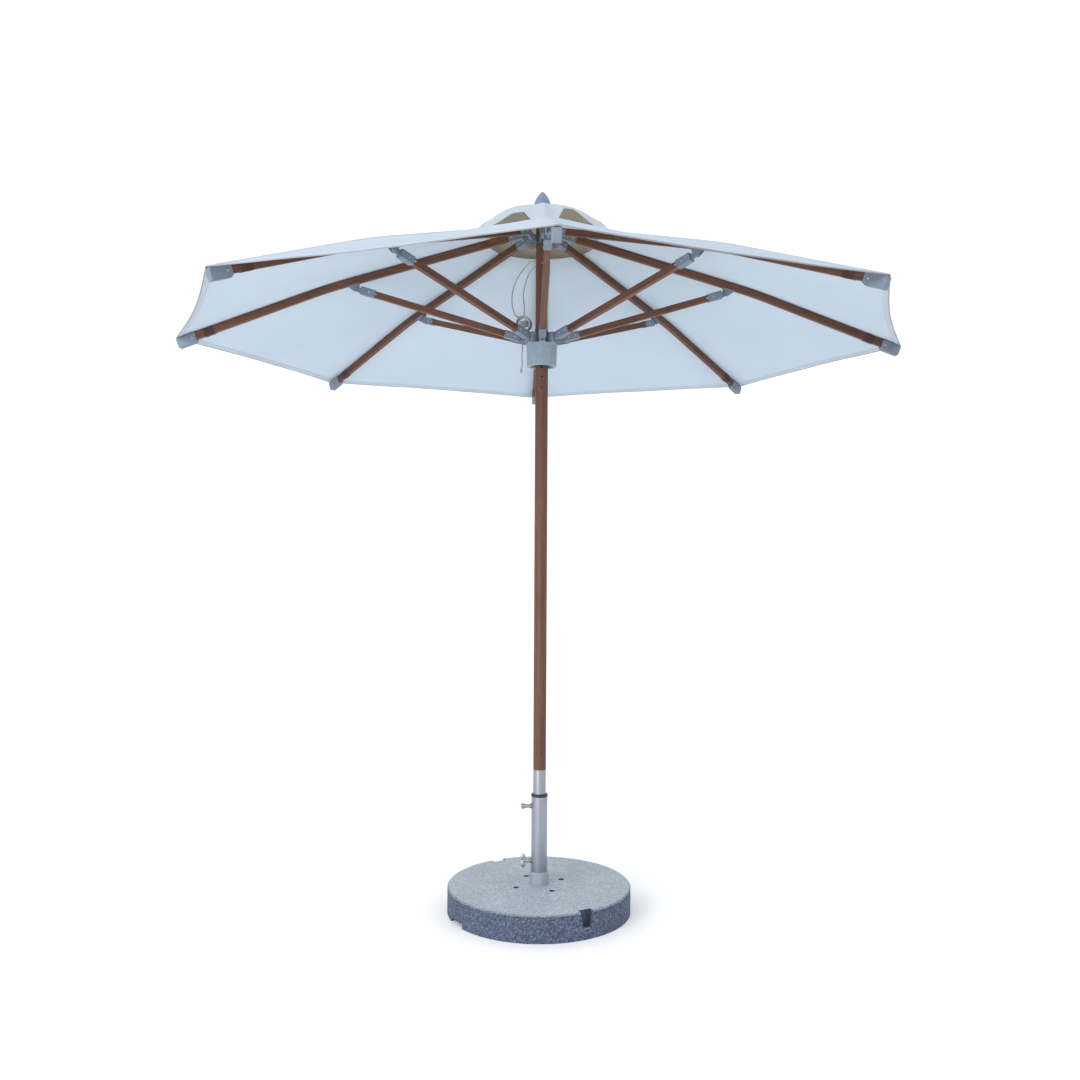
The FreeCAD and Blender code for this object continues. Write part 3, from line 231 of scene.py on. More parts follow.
def granite_material():
    """Honed top and rough side, both with mineral grains; painted light makes the top paler and the side
    darker, and painted shade darkens the pockets.
    """
    made = Nodes("granite_stone")
    point = made.place()
    grains = made.cells(point, 260.0)
    grey = made.add("SeparateColor", {"Color": grains}).outputs["Red"]
    fine = made.noise(point, 420.0, 3.0)
    broad = made.noise(point, 9.0, 5.0, 0.6)
    side_tones = [(0.0, (0.025, 0.035, 0.06)), (0.22, (0.042, 0.058, 0.1)), (0.45, (0.062, 0.085, 0.14)),
                  (0.8, (0.095, 0.125, 0.195)), (1.0, (0.16, 0.195, 0.27))]
    top_tones = [(0.0, (0.19, 0.21, 0.24)), (0.12, (0.285, 0.32, 0.36)), (0.55, (0.37, 0.415, 0.46)),
                 (1.0, (0.46, 0.515, 0.57))]
    side = made.ramp(grey, side_tones)
    top = made.ramp(grey, top_tones)
    upright = made.add("SeparateXYZ", {"Vector": made.add("NewGeometry").outputs["Normal"]}).outputs["Z"]
    # Painted light: faces turned up take the pale top colours, the sides the darker colours.
    flat = made.ramp(upright, [(0.55, 0.0), (0.9, 1.0)])
    colour = made.mix(flat, side, top)
    shade = made.ramp(broad, [(0.25, (0.82, 0.84, 0.86)), (0.75, (1.08, 1.08, 1.07))])
    colour = made.mix(1.0, colour, shade, "MULTIPLY")
    top_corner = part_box("granite_base")[1]
    under_top = made.math("LESS_THAN", made.add("SeparateXYZ", {"Vector": point}).outputs["Z"],
                          top_corner.z - POCKET_SHADE_DOWN)
    inside = made.math("LESS_THAN", made.radius(), top_corner.x - POCKET_SHADE_IN)
    # Painted shade inside the carrying pockets.
    pocket_shade = made.math("MULTIPLY", made.math("MULTIPLY", under_top, inside), 0.6)
    colour = made.mix(pocket_shade, colour, (0.02, 0.026, 0.04))
    rough = made.span(flat, 0.82, 0.62)
    pits = made.math("ADD", made.math("MULTIPLY", grey, 0.6), made.math("MULTIPLY", fine, 0.8))
    strength = made.math("SUBTRACT", 1.0, made.math("MULTIPLY", flat, 0.85))
    node = made.add("Bump", {"Height": pits, "Distance": 0.0012, "Strength": strength})
    return made.finish(colour, rough, node.outputs["Normal"])


def wood_material(name, direction, shade_tone=1.0, shade_radius=None):
    """Oiled reddish-brown hardwood with its grain along a direction, with painted shade from a tone below 1
    and inside a radius if given.
    """
    made = Nodes(name, Specular_IOR_Level=0.3)
    grain = made.noise(made.along(direction, 210.0, 5.0), 1.0, 6.0, 0.62, 0.35)
    pores = made.noise(made.along(direction, 900.0, 26.0), 1.0, 3.0, 0.6)
    patch = made.noise(made.along(direction, 14.0, 2.2), 1.0, 3.0)
    tones = [(0.22, (0.065, 0.027, 0.017)), (0.45, (0.118, 0.052, 0.032)), (0.62, (0.155, 0.071, 0.044)),
             (0.85, (0.21, 0.103, 0.066))]
    colour = made.ramp(grain, [(at, tuple(shade_tone * part for part in shade)) for at, shade in tones])
    dark = made.ramp(pores, [(0.36, (0.45, 0.42, 0.4)), (0.46, (1, 1, 1))])
    colour = made.mix(0.8, colour, dark, "MULTIPLY")
    colour = made.mix(0.75, colour, made.ramp(patch, [(0.3, (0.72, 0.72, 0.76)), (0.7, (1.15, 1.1, 1.06))]),
                      "MULTIPLY")
    if shade_radius is not None:
        # Painted shade in the hollows near the pole's axis.
        colour = made.paint_core_shade(colour, shade_radius)
    rough = made.span(grain, 0.42, 0.62)
    height = made.math("ADD", made.math("MULTIPLY", grain, 0.5), made.math("MULTIPLY", pores, 0.7))
    return made.finish(colour, rough, made.bump(height, 0.0005, 0.7))


def cloth_material(name, colour, shade, through=0.3, sheen=0.15):
    """Plain-woven canvas; threads follow the piece's own UV map, which is in metres."""
    made = Nodes(name, Sheen_Weight=sheen, Specular_IOR_Level=0.2)
    across = made.place(kind="UV")
    warp = made.add("TexWave", {"Vector": across, "Scale": 420.0, "Distortion": 0.6, "Detail": 1.0},
                    bands_direction="X").outputs["Fac"]
    weft = made.add("TexWave", {"Vector": across, "Scale": 420.0, "Distortion": 0.6, "Detail": 1.0},
                    bands_direction="Y").outputs["Fac"]
    weave = made.math("MULTIPLY", warp, weft)
    slubs = made.noise(made.place((60.0, 900.0, 1.0), "UV"), 1.0, 3.0)
    cloud = made.noise(made.place((1.6, 1.6, 1.6)), 1.0, 5.0, 0.55)
    tint = made.mix(made.ramp(cloud, [(0.3, 0.0), (0.72, 1.0)]), shade, colour)
    tint = made.mix(made.math("MULTIPLY", made.math("SUBTRACT", 1.0, weave), 0.12), tint, (0.3, 0.33, 0.38))
    tint = made.mix(0.10, tint, made.ramp(slubs, [(0.35, (0.7, 0.7, 0.72)), (0.65, (1, 1, 1))]), "MULTIPLY")
    normal = made.bump(made.math("ADD", weave, made.math("MULTIPLY", slubs, 0.4)), 0.0004, 0.5)
    made.finish(tint, 0.9, normal)
    if through:
        glow = made.add("BsdfTranslucent", {"Color": tint, "Normal": normal})
        both = made.add("MixShader", {0: through, 1: made.shader.outputs[0], 2: glow.outputs[0]})
        made.tree.links.new(both.outputs[0], made.tree.nodes["Material Output"].inputs["Surface"])
    return made.material


def resin_material(name, colour, rough=0.5, shade_radius=None):
    """Moulded resin with a fine texture and slight weathering, with painted shade inside a radius if given.
    """
    made = Nodes(name, Specular_IOR_Level=0.45)
    point = made.place()
    cloud = made.noise(point, 28.0, 4.0, 0.6)
    texture = made.noise(point, 1500.0, 2.0)
    worn = made.ramp(cloud, [(0.3, (0.86, 0.87, 0.88)), (0.7, (1.08, 1.08, 1.07))])
    made_colour = made.mix(1.0, colour, worn, "MULTIPLY")
    if shade_radius is not None:
        # Painted shade in the hollows near the pole's axis.
        made_colour = made.paint_core_shade(made_colour, shade_radius)
    return made.finish(made_colour, made.span(cloud, rough - 0.08, rough + 0.12),
                       made.bump(texture, 0.0002, 0.5))


def metal_material(name, colour, rough, direction=(0, 0, 1), polish=0.0004, metal=1.0):
    """Brushed or turned metal, its fine lines along a direction."""
    made = Nodes(name, Metallic=metal)
    lines = made.noise(made.along(direction, 1400.0, 18.0), 1.0, 3.0)
    smear = made.noise(made.along(direction, 40.0, 6.0), 1.0, 4.0)
    shade = made.ramp(smear, [(0.3, (0.86, 0.87, 0.9)), (0.7, (1.05, 1.05, 1.04))])
    tint = made.mix(1.0, colour, shade, "MULTIPLY")
    return made.finish(tint, made.span(lines, rough - 0.08, rough + 0.1), made.bump(lines, polish, 0.35))


def rope_material():
    """Weathered off-white cord with yarn lines."""
    made = Nodes("rope_fibre", Sheen_Weight=0.3)
    point = made.place()
    yarn = made.noise(point, 900.0, 3.0, 0.7)
    dirt = made.noise(point, 40.0, 4.0)
    colour = made.ramp(yarn, [(0.3, (0.28, 0.28, 0.28)), (0.6, (0.5, 0.5, 0.49)), (0.9, (0.66, 0.66, 0.65))])
    stain = made.ramp(dirt, [(0.35, (0.62, 0.62, 0.62)), (0.7, (1, 1, 1))])
    colour = made.mix(0.5, colour, stain, "MULTIPLY")
    return made.finish(colour, 0.88, made.bump(yarn, 0.0006, 0.8))


CLOTH_PALE, CLOTH_SHADE = (0.70, 0.79, 0.875), (0.64, 0.735, 0.825)
# Painted light: the vent cap's underside takes a warm tan, standing in for warm light shining through and
# bouncing into its shaded inside.
WARM_UNDERSIDE, WARM_UNDERSIDE_SHADE = (0.78, 0.67, 0.5), (0.69, 0.6, 0.45)
BINDING, BINDING_SHADE = (0.30, 0.31, 0.33), (0.24, 0.25, 0.27)


# ---------------------------------------------------------------- meshes

def add_object(name, mesh, material, smooth=True):
    made = bpy.data.objects.new(name, mesh)
    bpy.context.scene.collection.objects.link(made)
    for item in (material if isinstance(material, (list, tuple)) else [material]):
        mesh.materials.append(item)
    if smooth:
        mesh.shade_smooth()
    return made


def mesh_from(name, points, faces, uvs=None):
    mesh = bpy.data.meshes.new(name)
    mesh.from_pydata([tuple(point) for point in points], [], faces)
    mesh.update()
    if uvs is not None:
        layer = mesh.uv_layers.new(name="threads")
        for loop in mesh.loops:
            layer.data[loop.index].uv = uvs[loop.vertex_index]
    return mesh


def thick_grid(name, rows, uv_rows, low, high, materials):
    """A closed sheet between two heights over a grid of points. Its underside takes the last material."""
    count = len(rows[0])
    layers = []
    for offset in (high, low):
        layers += [point + Vector((0, 0, offset)) for row in rows for point in row]
    uvs = [uv for row in uv_rows for uv in row] * 2
    size = len(rows) * count
    faces, under = [], []
    for row in range(len(rows) - 1):
        for column in range(count - 1):
            corner = row * count + column
            quad = (corner, corner + 1, corner + count + 1, corner + count)
            faces.append(quad)
            under.append(tuple(size + index for index in reversed(quad)))
    top_count = len(faces)
    faces += under
    border = list(range(count))
    border += [row * count + count - 1 for row in range(1, len(rows))]
    border += [size - 1 - index for index in range(1, count)]
    border += [row * count for row in range(len(rows) - 2, 0, -1)]
    for here, beyond in zip(border, border[1:] + border[:1]):
        faces.append((beyond, here, here + size, beyond + size))
    mesh = mesh_from(name, layers, faces, uvs)
    made = add_object(name, mesh, materials)
    last = len(mesh.materials) - 1
    for polygon in mesh.polygons:
        if polygon.index >= top_count:
            polygon.material_index = last
    make_outward(mesh)
    mesh.set_sharp_from_angle(angle=math.radians(50))
    return made


def make_outward(mesh):
    """Turns every face of a closed mesh outwards."""
    import bmesh
    work = bmesh.new()
    work.from_mesh(mesh)
    bmesh.ops.recalc_face_normals(work, faces=work.faces)
    work.to_mesh(mesh)
    work.free()


def lathe_points(profile, place, segments=20):
    """Points and faces of a solid turned about a placement's Z axis, from (radius, height) pairs."""
    points, faces = [], []
    for radius, height in profile:
        for step in range(segments):
            turn = 2 * math.pi * step / segments
            points.append(place @ Vector((radius * math.cos(turn), radius * math.sin(turn), height)))
    for ring in range(len(profile) - 1):
        for step in range(segments):
            beyond = (step + 1) % segments
            faces.append((ring * segments + step, ring * segments + beyond,
                          (ring + 1) * segments + beyond, (ring + 1) * segments + step))
    faces.append(tuple(reversed(range(segments))))
    faces.append(tuple(range((len(profile) - 1) * segments, len(profile) * segments)))
    return points, faces


def joined_mesh(name, shapes, material, smooth=True):
    """One piece from several (points, faces) shapes."""
    points, faces = [], []
    for shape_points, shape_faces in shapes:
        start = len(points)
        points += shape_points
        faces += [tuple(start + index for index in face) for face in shape_faces]
    return add_object(name, mesh_from(name, points, faces), material, smooth)


def box_points(low, high, place):
    """Points and faces of a box between two corners of a placement."""
    points = [place @ Vector((x, y, z)) for x in (low[0], high[0]) for y in (low[1], high[1])
              for z in (low[2], high[2])]
    faces = [(0, 1, 3, 2), (4, 6, 7, 5), (0, 4, 5, 1), (2, 3, 7, 6), (0, 2, 6, 4), (1, 5, 7, 3)]
    return points, faces


def soften(piece, width, segments=2):
    """Rounds a piece's sharp edges."""
    modifier = piece.modifiers.new("soft_edges", "BEVEL")
    modifier.width = width
    modifier.segments = segments
    modifier.limit_method = "ANGLE"
    modifier.angle_limit = math.radians(35)
    return piece


# ---------------------------------------------------------------- frames of the moving parts

def azimuth(number):
    return NEAR_RIB + SPACING * (number - 1)


def rib_frame(number):
    """The placement with its origin at a rib's hub pivot, X along the pivots and Z out of the rib's top."""
    hub = Vector(JOINTS["rib_1_fold"]["pos_m"])
    joint = Vector(JOINTS["strut_1_swing"]["pos_m"])
    ahead = (joint - hub).normalized()
    aside = Vector(JOINTS["rib_1_fold"]["axis"])
    up = ahead.cross(aside)
    base = Matrix.Translation(hub) @ Matrix((ahead, aside, up)).transposed().to_4x4()
    return Matrix.Rotation(SPACING * (number - 1), 4, "Z") @ base


def strut_frame(number):
    """The placement with its origin at a strut's runner pivot and X along the strut."""
    runner = Vector(JOINTS["runner_hinge"]["pos_m"])
    joint = Vector(JOINTS["strut_1_swing"]["pos_m"])
    ahead = (joint - runner).normalized()
    aside = Vector(JOINTS["rib_1_fold"]["axis"])
    up = ahead.cross(aside)
    base = Matrix.Translation(runner) @ Matrix((ahead, aside, up)).transposed().to_4x4()
    return Matrix.Rotation(SPACING * (number - 1), 4, "Z") @ base


def rib_tip_frame(number):
    """The placement at the middle of a rib's outer end, X along its last stretch."""
    inverse = rib_frame(1).inverted()
    local = [inverse @ vertex.co for vertex in NODES["rib_1"].data.vertices]
    last = max(point.x for point in local)
    end = [point for point in local if point.x > last - 0.006]
    top, bottom = max(end, key=lambda point: point.z), min(end, key=lambda point: point.z)
    up = Vector((top.x - bottom.x, 0, top.z - bottom.z)).normalized()
    ahead = Vector((up.z, 0, -up.x))
    middle = Vector(((top.x + bottom.x) / 2, 0, (top.z + bottom.z) / 2))
    turn = Matrix((ahead, Vector((0, 1, 0)), up)).transposed().to_4x4()
    return rib_frame(number) @ Matrix.Translation(middle) @ turn


def folds(piece, number):
    """Cloth over a rib: it moves with the rib."""
    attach(piece, f"rib_{number}")
    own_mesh(piece)
    return piece


# ---------------------------------------------------------------- canopy

HEM_BOW = 0.02
CLOTH_THICK = 0.0011
PANEL_SAG = 0.012


def ridge_line():
    """Radius and height along the cloth over a rib, from the CAD gore over the near rib."""
    found = {}
    for vertex in NODES["canopy_gore_1"].data.vertices:
        if abs(vertex.co.x) < 1e-4:
            radius = round(-vertex.co.y, 3)
            found[radius] = max(found.get(radius, 0.0), vertex.co.z)
    return sorted(found.items())


RIDGE = ridge_line()
RIDGE_IN, RIDGE_OUT = RIDGE[0][0], RIDGE[-1][0]


def ridge_height(radius):
    """Height of the cloth over a rib, its corners eased."""
    def plain(at):
        at = min(max(at, RIDGE_IN), RIDGE_OUT)
        for (near, near_height), (far, far_height) in zip(RIDGE, RIDGE[1:]):
            if at <= far:
                return near_height + (far_height - near_height) * (at - near) / (far - near)
        return RIDGE[-1][1]
    reach = min(0.03, radius - RIDGE_IN, RIDGE_OUT - radius)
    reach = max(reach, 0.0)
    return (plain(radius - reach) + plain(radius) + plain(radius + reach)) / 3


def gore_point(number, part, across, bow=HEM_BOW):
    """A point of the canopy: part 0 at the top opening to 1 at the hem, across -1 to 1 over the gore."""
    turn = abs(across) * HALF
    fullness = math.sin(abs(across) * math.pi / 2)
    radius = RIDGE_IN + (RIDGE_OUT - bow * fullness - RIDGE_IN) * part
    chord = radius * math.cos(HALF) / math.cos(HALF - turn)
    hang = PANEL_SAG * fullness * (0.35 + 0.65 * math.sin(math.pi * min(1.0, 0.12 + 0.8 * part)))
    heading = azimuth(number) + math.copysign(turn, across)
    flat = Vector((math.cos(heading), math.sin(heading), 0)) * chord
    height = ridge_height(radius) - hang
    ripple = noise.noise(flat * 3.1) * 0.0035 + noise.noise(flat * 9.0) * 0.0012
    return Vector((flat.x, flat.y, height + ripple * fullness))


def gore_grid(number, parts, across_of):
    """Rows of points and their thread coordinates in metres."""
    rows, uv_rows = [], []
    for part in parts:
        acrosses = across_of(part)
        row = [gore_point(number, part, across) for across in acrosses]
        rows.append(row)
        length = part * (RIDGE_OUT - RIDGE_IN)
        width = (RIDGE_IN + length) * math.tan(HALF)
        uv_rows.append([(across * width, length) for across in acrosses])
    return rows, uv_rows


def steps(low, high, count):
    return [low + (high - low) * step / count for step in range(count + 1)]


def band(middle, half_width):
    """Across values of a band of constant width beside a rib line."""
    def across_of(part):
        width = (RIDGE_IN + part * (RIDGE_OUT - RIDGE_IN)) * math.tan(HALF)
        return [(middle + half_width * side) / width for side in (-1, 0, 1)]
    return across_of


def stitch_shapes(points, pitch=0.007, long=0.004, half=0.0005, tall=0.0005, lift=0.0):
    """Small raised stitches along a line of points on the cloth."""
    shapes = []
    left = 0.0
    for first, second in zip(points, points[1:]):
        run = second - first
        length = run.length
        if length < 1e-9:
            continue
        ahead = run / length
        aside = Vector((0, 0, 1)).cross(ahead).normalized()
        up = ahead.cross(aside)
        while left + long < length:
            place = Matrix.Translation(first + ahead * left + Vector((0, 0, lift)))
            place = place @ Matrix((ahead, aside, up)).transposed().to_4x4()
            shapes.append(box_points((0, -half, -tall), (long, half, tall), place))
            left += pitch
        left -= length
        left = max(left, 0.0)
    return shapes


# The rows of stitching: distance of a rib seam's two rows from its middle, and the hem's two rows as parts.
SEAM_STITCH = 0.0065
HEM_STITCHES = (0.984, 0.9925)


def make_gore(number, cloth, hem_tape, thread):
    """One gore with its hem, binding, rib seam, corner patch and stitching."""
    full = lambda part: steps(-1, 1, 24)
    rows, uvs = gore_grid(number, steps(0, 1, 44), full)
    gore = thick_grid(f"canopy_cloth_{number}", rows, uvs, -CLOTH_THICK, 0.0, cloth)
    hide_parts(f"canopy_gore_{number}")
    hem = thick_grid(f"hem_{number}", *gore_grid(number, steps(0.981, 1.0, 3), full),
                     -0.0026, -CLOTH_THICK, cloth)
    binding = thick_grid(f"hem_binding_{number}", *gore_grid(number, steps(0.9975, 1.001, 2), full),
                         -0.0030, 0.0006, hem_tape)
    collar = thick_grid(f"opening_tape_{number}", *gore_grid(number, steps(0.0, 0.02, 3), full),
                        0.0, 0.0014, hem_tape)
    seam = thick_grid(f"rib_seam_{number}", *gore_grid(number, steps(0.02, 0.985, 44), band(0, 0.009)),
                      0.0, 0.0013, cloth)
    patch = thick_grid(f"corner_patch_{number}", *gore_grid(number, steps(0.925, 1.0, 6), band(0, 0.034)),
                       0.0, 0.0022, cloth)
    shapes = []
    for side in (-SEAM_STITCH, SEAM_STITCH):
        line = [gore_point(number, part, band(side, 0)(part)[1]) for part in steps(0.03, 0.92, 120)]
        shapes += stitch_shapes(line, lift=0.0016)
    for part in HEM_STITCHES:
        line = [gore_point(number, part, across) for across in steps(-1, 1, 60)]
        shapes += stitch_shapes(line, lift=-0.0028)
        shapes += stitch_shapes(line, lift=0.0002)
    stitching = joined_mesh(f"stitching_{number}", shapes, thread, smooth=False)
    for piece in (gore, hem, binding, collar, seam, patch, stitching):
        folds(piece, number)


# ---------------------------------------------------------------- vent cap

VENT_LOW, VENT_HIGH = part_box("vent_cap")
VENT_OUT = -VENT_LOW.y
VENT_IN = 0.0265
VENT_BULGE = 0.030
# Shares of a half panel at the rim: up to where the cloth stays down, and from where the arch is full height.
ARCH_START, ARCH_FULL = 0.27, 0.8
# How far each panel's arch is cut back and lifted, from the panel right of the near rib round. Metres.
ARCH_CUTS = [0.066, 0.062, 0.05, 0.012, 0.012, 0.05, 0.058, 0.06]
ARCH_LIFTS = [0.022, 0.012, 0.008, 0.0, 0.0, 0.008, 0.006, 0.01]


def vent_point(number, part, across):
    """A point of the vent cap: part 0 at the finial to 1 at the scalloped rim."""
    panel = (number - 1) % RIBS if across > 0 else (number - 2) % RIBS
    rise = min(1.0, max(0.0, (abs(across) - ARCH_START) / (ARCH_FULL - ARCH_START)))
    rise = 0.5 * rise + 0.5 * rise * rise * (3 - 2 * rise)
    arch = rise * ARCH_CUTS[panel]
    turn = abs(across) * HALF
    radius = VENT_IN + (VENT_OUT - arch - VENT_IN) * part
    slope = (radius - VENT_IN) / (VENT_OUT - VENT_IN)
    low = VENT_LOW.z + CLOTH_THICK
    top = VENT_HIGH.z
    height = top + (low - top) * slope + VENT_BULGE * math.sin(math.pi * slope)
    chord = radius * math.cos(HALF) / math.cos(HALF - turn)
    heading = azimuth(number) + math.copysign(turn, across)
    fullness = math.sin(abs(across) * math.pi / 2)
    height += rise * ARCH_LIFTS[panel] * part * part - 0.004 * fullness * math.sin(math.pi * part)
    return Vector((chord * math.cos(heading), chord * math.sin(heading), height))


# Half width and length that a vent piece's thread coordinates span, in metres.
VENT_THREADS = (0.12, 0.32)


def vent_grid(number, parts, acrosses):
    rows = [[vent_point(number, part, across) for across in acrosses] for part in parts]
    uvs = [[(across * VENT_THREADS[0], part * VENT_THREADS[1]) for across in acrosses] for part in parts]
    return rows, uvs


def make_vent(number, cloth, warm_underside):
    """The part of the vent cap over one rib, with its scalloped binding."""
    rows, uvs = vent_grid(number, steps(0.0, 1, 18), steps(-1, 1, 32))
    piece = thick_grid(f"vent_cloth_{number}", rows, uvs, -CLOTH_THICK, 0.0, [cloth, warm_underside])
    rim = thick_grid(f"vent_binding_{number}", *vent_grid(number, steps(0.965, 1.005, 2), steps(-1, 1, 32)),
                     -CLOTH_THICK - 0.0012, 0.0012, cloth)
    for item in (piece, rim):
        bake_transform(item)
    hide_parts("vent_cap")
    return piece


def make_crown(cloth):
    """The eight-sided reinforcement round the top of the vent cap, fixed to the pole."""
    rows, uvs = [], []
    for part in steps(0.0, 0.2, 4):
        row = []
        for number in range(1, RIBS + 1):
            row += [vent_point(number, part, across) for across in steps(-1, 1, 8)[:-1]]
        row.append(row[0].copy())
        rows.append(row)
        uvs.append([(point.x, point.y) for point in row])
    crown = thick_grid("vent_crown", rows, uvs, 0.0004, 0.0018, cloth)
    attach(crown, "pole")


# ---------------------------------------------------------------- hardware

RIVET_DOME = [(0.0001, 0.0018), (0.002, 0.0015), (0.0036, 0.0006), (0.004, 0.0), (0.004, -0.001),
              (0.0001, -0.001)]
# Half widths across the fittings under the rivet heads.
CAP_HALF, TONGUE_HALF, SLEEVE_HALF = 0.013, 0.012, 0.013
CAP_RIVET = (-0.038, 0, -0.003)
TONGUE_RIVETS = [(0.030, 0, 0.028), (0.056, 0, 0.028)]
SLEEVE_RIVETS = [(0.047, 0, 0), (0.074, 0, 0), (0.594, 0, 0), (0.620, 0, 0)]


def rivet_heads(frame_place, at, half_width):
    """A pair of domed heads on both sides of a fitting."""
    shapes = []
    for side in (-1, 1):
        turn = Matrix.Rotation(-side * math.pi / 2, 4, "X")
        place = frame_place @ Matrix.Translation(at) @ Matrix.Translation((0, side * half_width, 0)) @ turn
        shapes.append(lathe_points(RIVET_DOME, place, 14))
    return shapes


def make_rivets(number, metal):
    """Rivet heads on a rib's tip cap and hub sleeve, and on the two sleeves of its strut."""
    rib, strut = rib_frame(number), strut_frame(number)
    on_rib = rivet_heads(rib_tip_frame(number), CAP_RIVET, CAP_HALF)
    for at in TONGUE_RIVETS:
        on_rib += rivet_heads(rib, at, TONGUE_HALF)
    on_strut = []
    for at in SLEEVE_RIVETS:
        on_strut += rivet_heads(strut, at, SLEEVE_HALF)
    for name, shapes in (("rib", on_rib), ("strut", on_strut)):
        rivets = joined_mesh(f"{name}_rivets_{number}", shapes, metal)
        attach(rivets, f"{name}_{number}")


BAND_THICK = 0.0012


def make_strap(number, webbing):
    """The dark band round a rib's sides and underside, further in than its tip cap."""
    tip = rib_tip_frame(number)
    wide, low, high = 0.0106, -0.0150, 0.01425
    near, far = -0.125, -0.085
    shapes = [box_points((near, -wide, low), (far, -wide + BAND_THICK, high), tip),
              box_points((near, wide - BAND_THICK, low), (far, wide, high), tip),
              box_points((near, -wide, low), (far, wide, low + BAND_THICK), tip)]
    strap = joined_mesh(f"tip_band_{number}", shapes, webbing, smooth=False)
    soften(strap, 0.0004)
    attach(strap, f"rib_{number}")


def make_mouth_shade_ring(black):
    """A black ring in the runner's mouth: painted shade for the shadow inside the runner's skirt round the
    pole.
    """
    place = Matrix.Translation((0, 0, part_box("runner")[0].z))
    profile = [(0.0246, 0.02), (0.0246, -0.0012), (0.0262, -0.0022), (0.0345, -0.0022), (0.0352, -0.0012),
               (0.0352, 0.0002), (0.0249, 0.0002), (0.0249, 0.02)]
    around = 48
    points, faces = lathe_points(profile, place, around)
    faces = faces[:-2]
    last = (len(profile) - 1) * around
    faces += [(last + step, last + (step + 1) % around, (step + 1) % around, step) for step in range(around)]
    # Painted shade: black where the runner's mouth lies in shadow.
    shade_ring = joined_mesh("runner_mouth_shade_ring", [(points, faces)], black)
    make_outward(shade_ring.data)
    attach(shade_ring, "runner")


# ---------------------------------------------------------------- rope

GAP_AZIMUTH = math.radians(157.5)
ROPE = 0.0056


def in_gap(out, aside, height):
    """A point in the sector where the rope hangs, given in millimetres as the CAD gives it."""
    return Matrix.Rotation(GAP_AZIMUTH, 3, "Z") @ Vector((out, aside, height)) / 1000


def mm(x, y, z):
    return Vector((x, y, z)) / 1000


def hank_turns():
    """The turns of the tied hank: tall loops side by side, uneven in size."""
    points = []
    turns, per_turn = 6, 14
    middle, level = 76, 2209
    half_out, half_tall, half_wide = 30, 31, 9.5
    for step in range(turns * per_turn):
        turn = step / per_turn
        angle = math.pi / 2 - 2 * math.pi * turn
        wobble = 1 + 0.1 * math.sin(2.1 * turn + 0.7)
        out = middle + half_out * wobble * math.cos(angle)
        height = level + half_tall * (2 - wobble) * math.sin(angle)
        aside = -half_wide + 2 * half_wide * turn / turns + 1.5 * math.sin(5.0 * turn)
        points.append(in_gap(out, aside, height))
    return points


def spline_points(name, route):
    """Points along a smooth NURBS line through the route."""
    curve = bpy.data.curves.new(f"{name}_route", "CURVE")
    curve.dimensions = "3D"
    spline = curve.splines.new("NURBS")
    spline.points.add(len(route) - 1)
    for point, place in zip(spline.points, route):
        point.co = (*place, 1)
    spline.order_u = 3
    spline.use_endpoint_u = True
    spline.resolution_u = 10
    holder = bpy.data.objects.new(f"{name}_route", curve)
    bpy.context.scene.collection.objects.link(holder)
    mesh = bpy.data.meshes.new_from_object(holder)
    points = [vertex.co.copy() for vertex in mesh.vertices]
    bpy.data.objects.remove(holder)
    bpy.data.meshes.remove(mesh)
    return points


def rope_mesh(name, line, material, strands=3, lay=0.022, sides=15):
    """A twisted rope of a few strands along a line of points."""
    points, faces = [], []
    normal = (line[1] - line[0]).orthogonal().normalized()
    gone = 0.0
    for number, place in enumerate(line):
        before, after = line[max(number - 1, 0)], line[min(number + 1, len(line) - 1)]
        ahead = (after - before).normalized()
        normal = (normal - ahead * normal.dot(ahead)).normalized()
        other = ahead.cross(normal)
        gone += (place - before).length
        for side in range(sides):
            turn = 2 * math.pi * side / sides
            lobe = abs(math.cos((turn - 2 * math.pi * gone / lay) * strands / 2))
            radius = ROPE / 2 * (0.8 + 0.2 * lobe)
            points.append(place + (normal * math.cos(turn) + other * math.sin(turn)) * radius)
    for ring in range(len(line) - 1):
        for side in range(sides):
            beyond = (side + 1) % sides
            faces.append((ring * sides + side, ring * sides + beyond,
                          (ring + 1) * sides + beyond, (ring + 1) * sides + side))
    faces.append(tuple(reversed(range(sides))))
    faces.append(tuple(range((len(line) - 1) * sides, len(line) * sides)))
    return add_object(name, mesh_from(name, points, faces), material)


KNOT_PROFILE = [(0.0004, 0.006), (0.003, 0.0055), (0.0052, 0.003), (0.0056, 0.0), (0.0048, -0.0015),
                (0.0055, -0.0035), (0.0048, -0.0065), (0.003, -0.009), (0.0034, -0.012), (0.0004, -0.0125)]


def wrap_turns():
    """The turns that bind the hank round its middle."""
    points = []
    turns, per_turn = 4, 16
    middle, level, pitch = 74, 2212, 5.4
    half_out, half_wide = 16, 14.5
    for step in range(turns * per_turn + 1):
        angle = 2 * math.pi * step / per_turn
        height = level + pitch * (step / per_turn - turns / 2)
        points.append(in_gap(middle + half_out * math.cos(angle), half_wide * math.sin(angle), height))
    return points


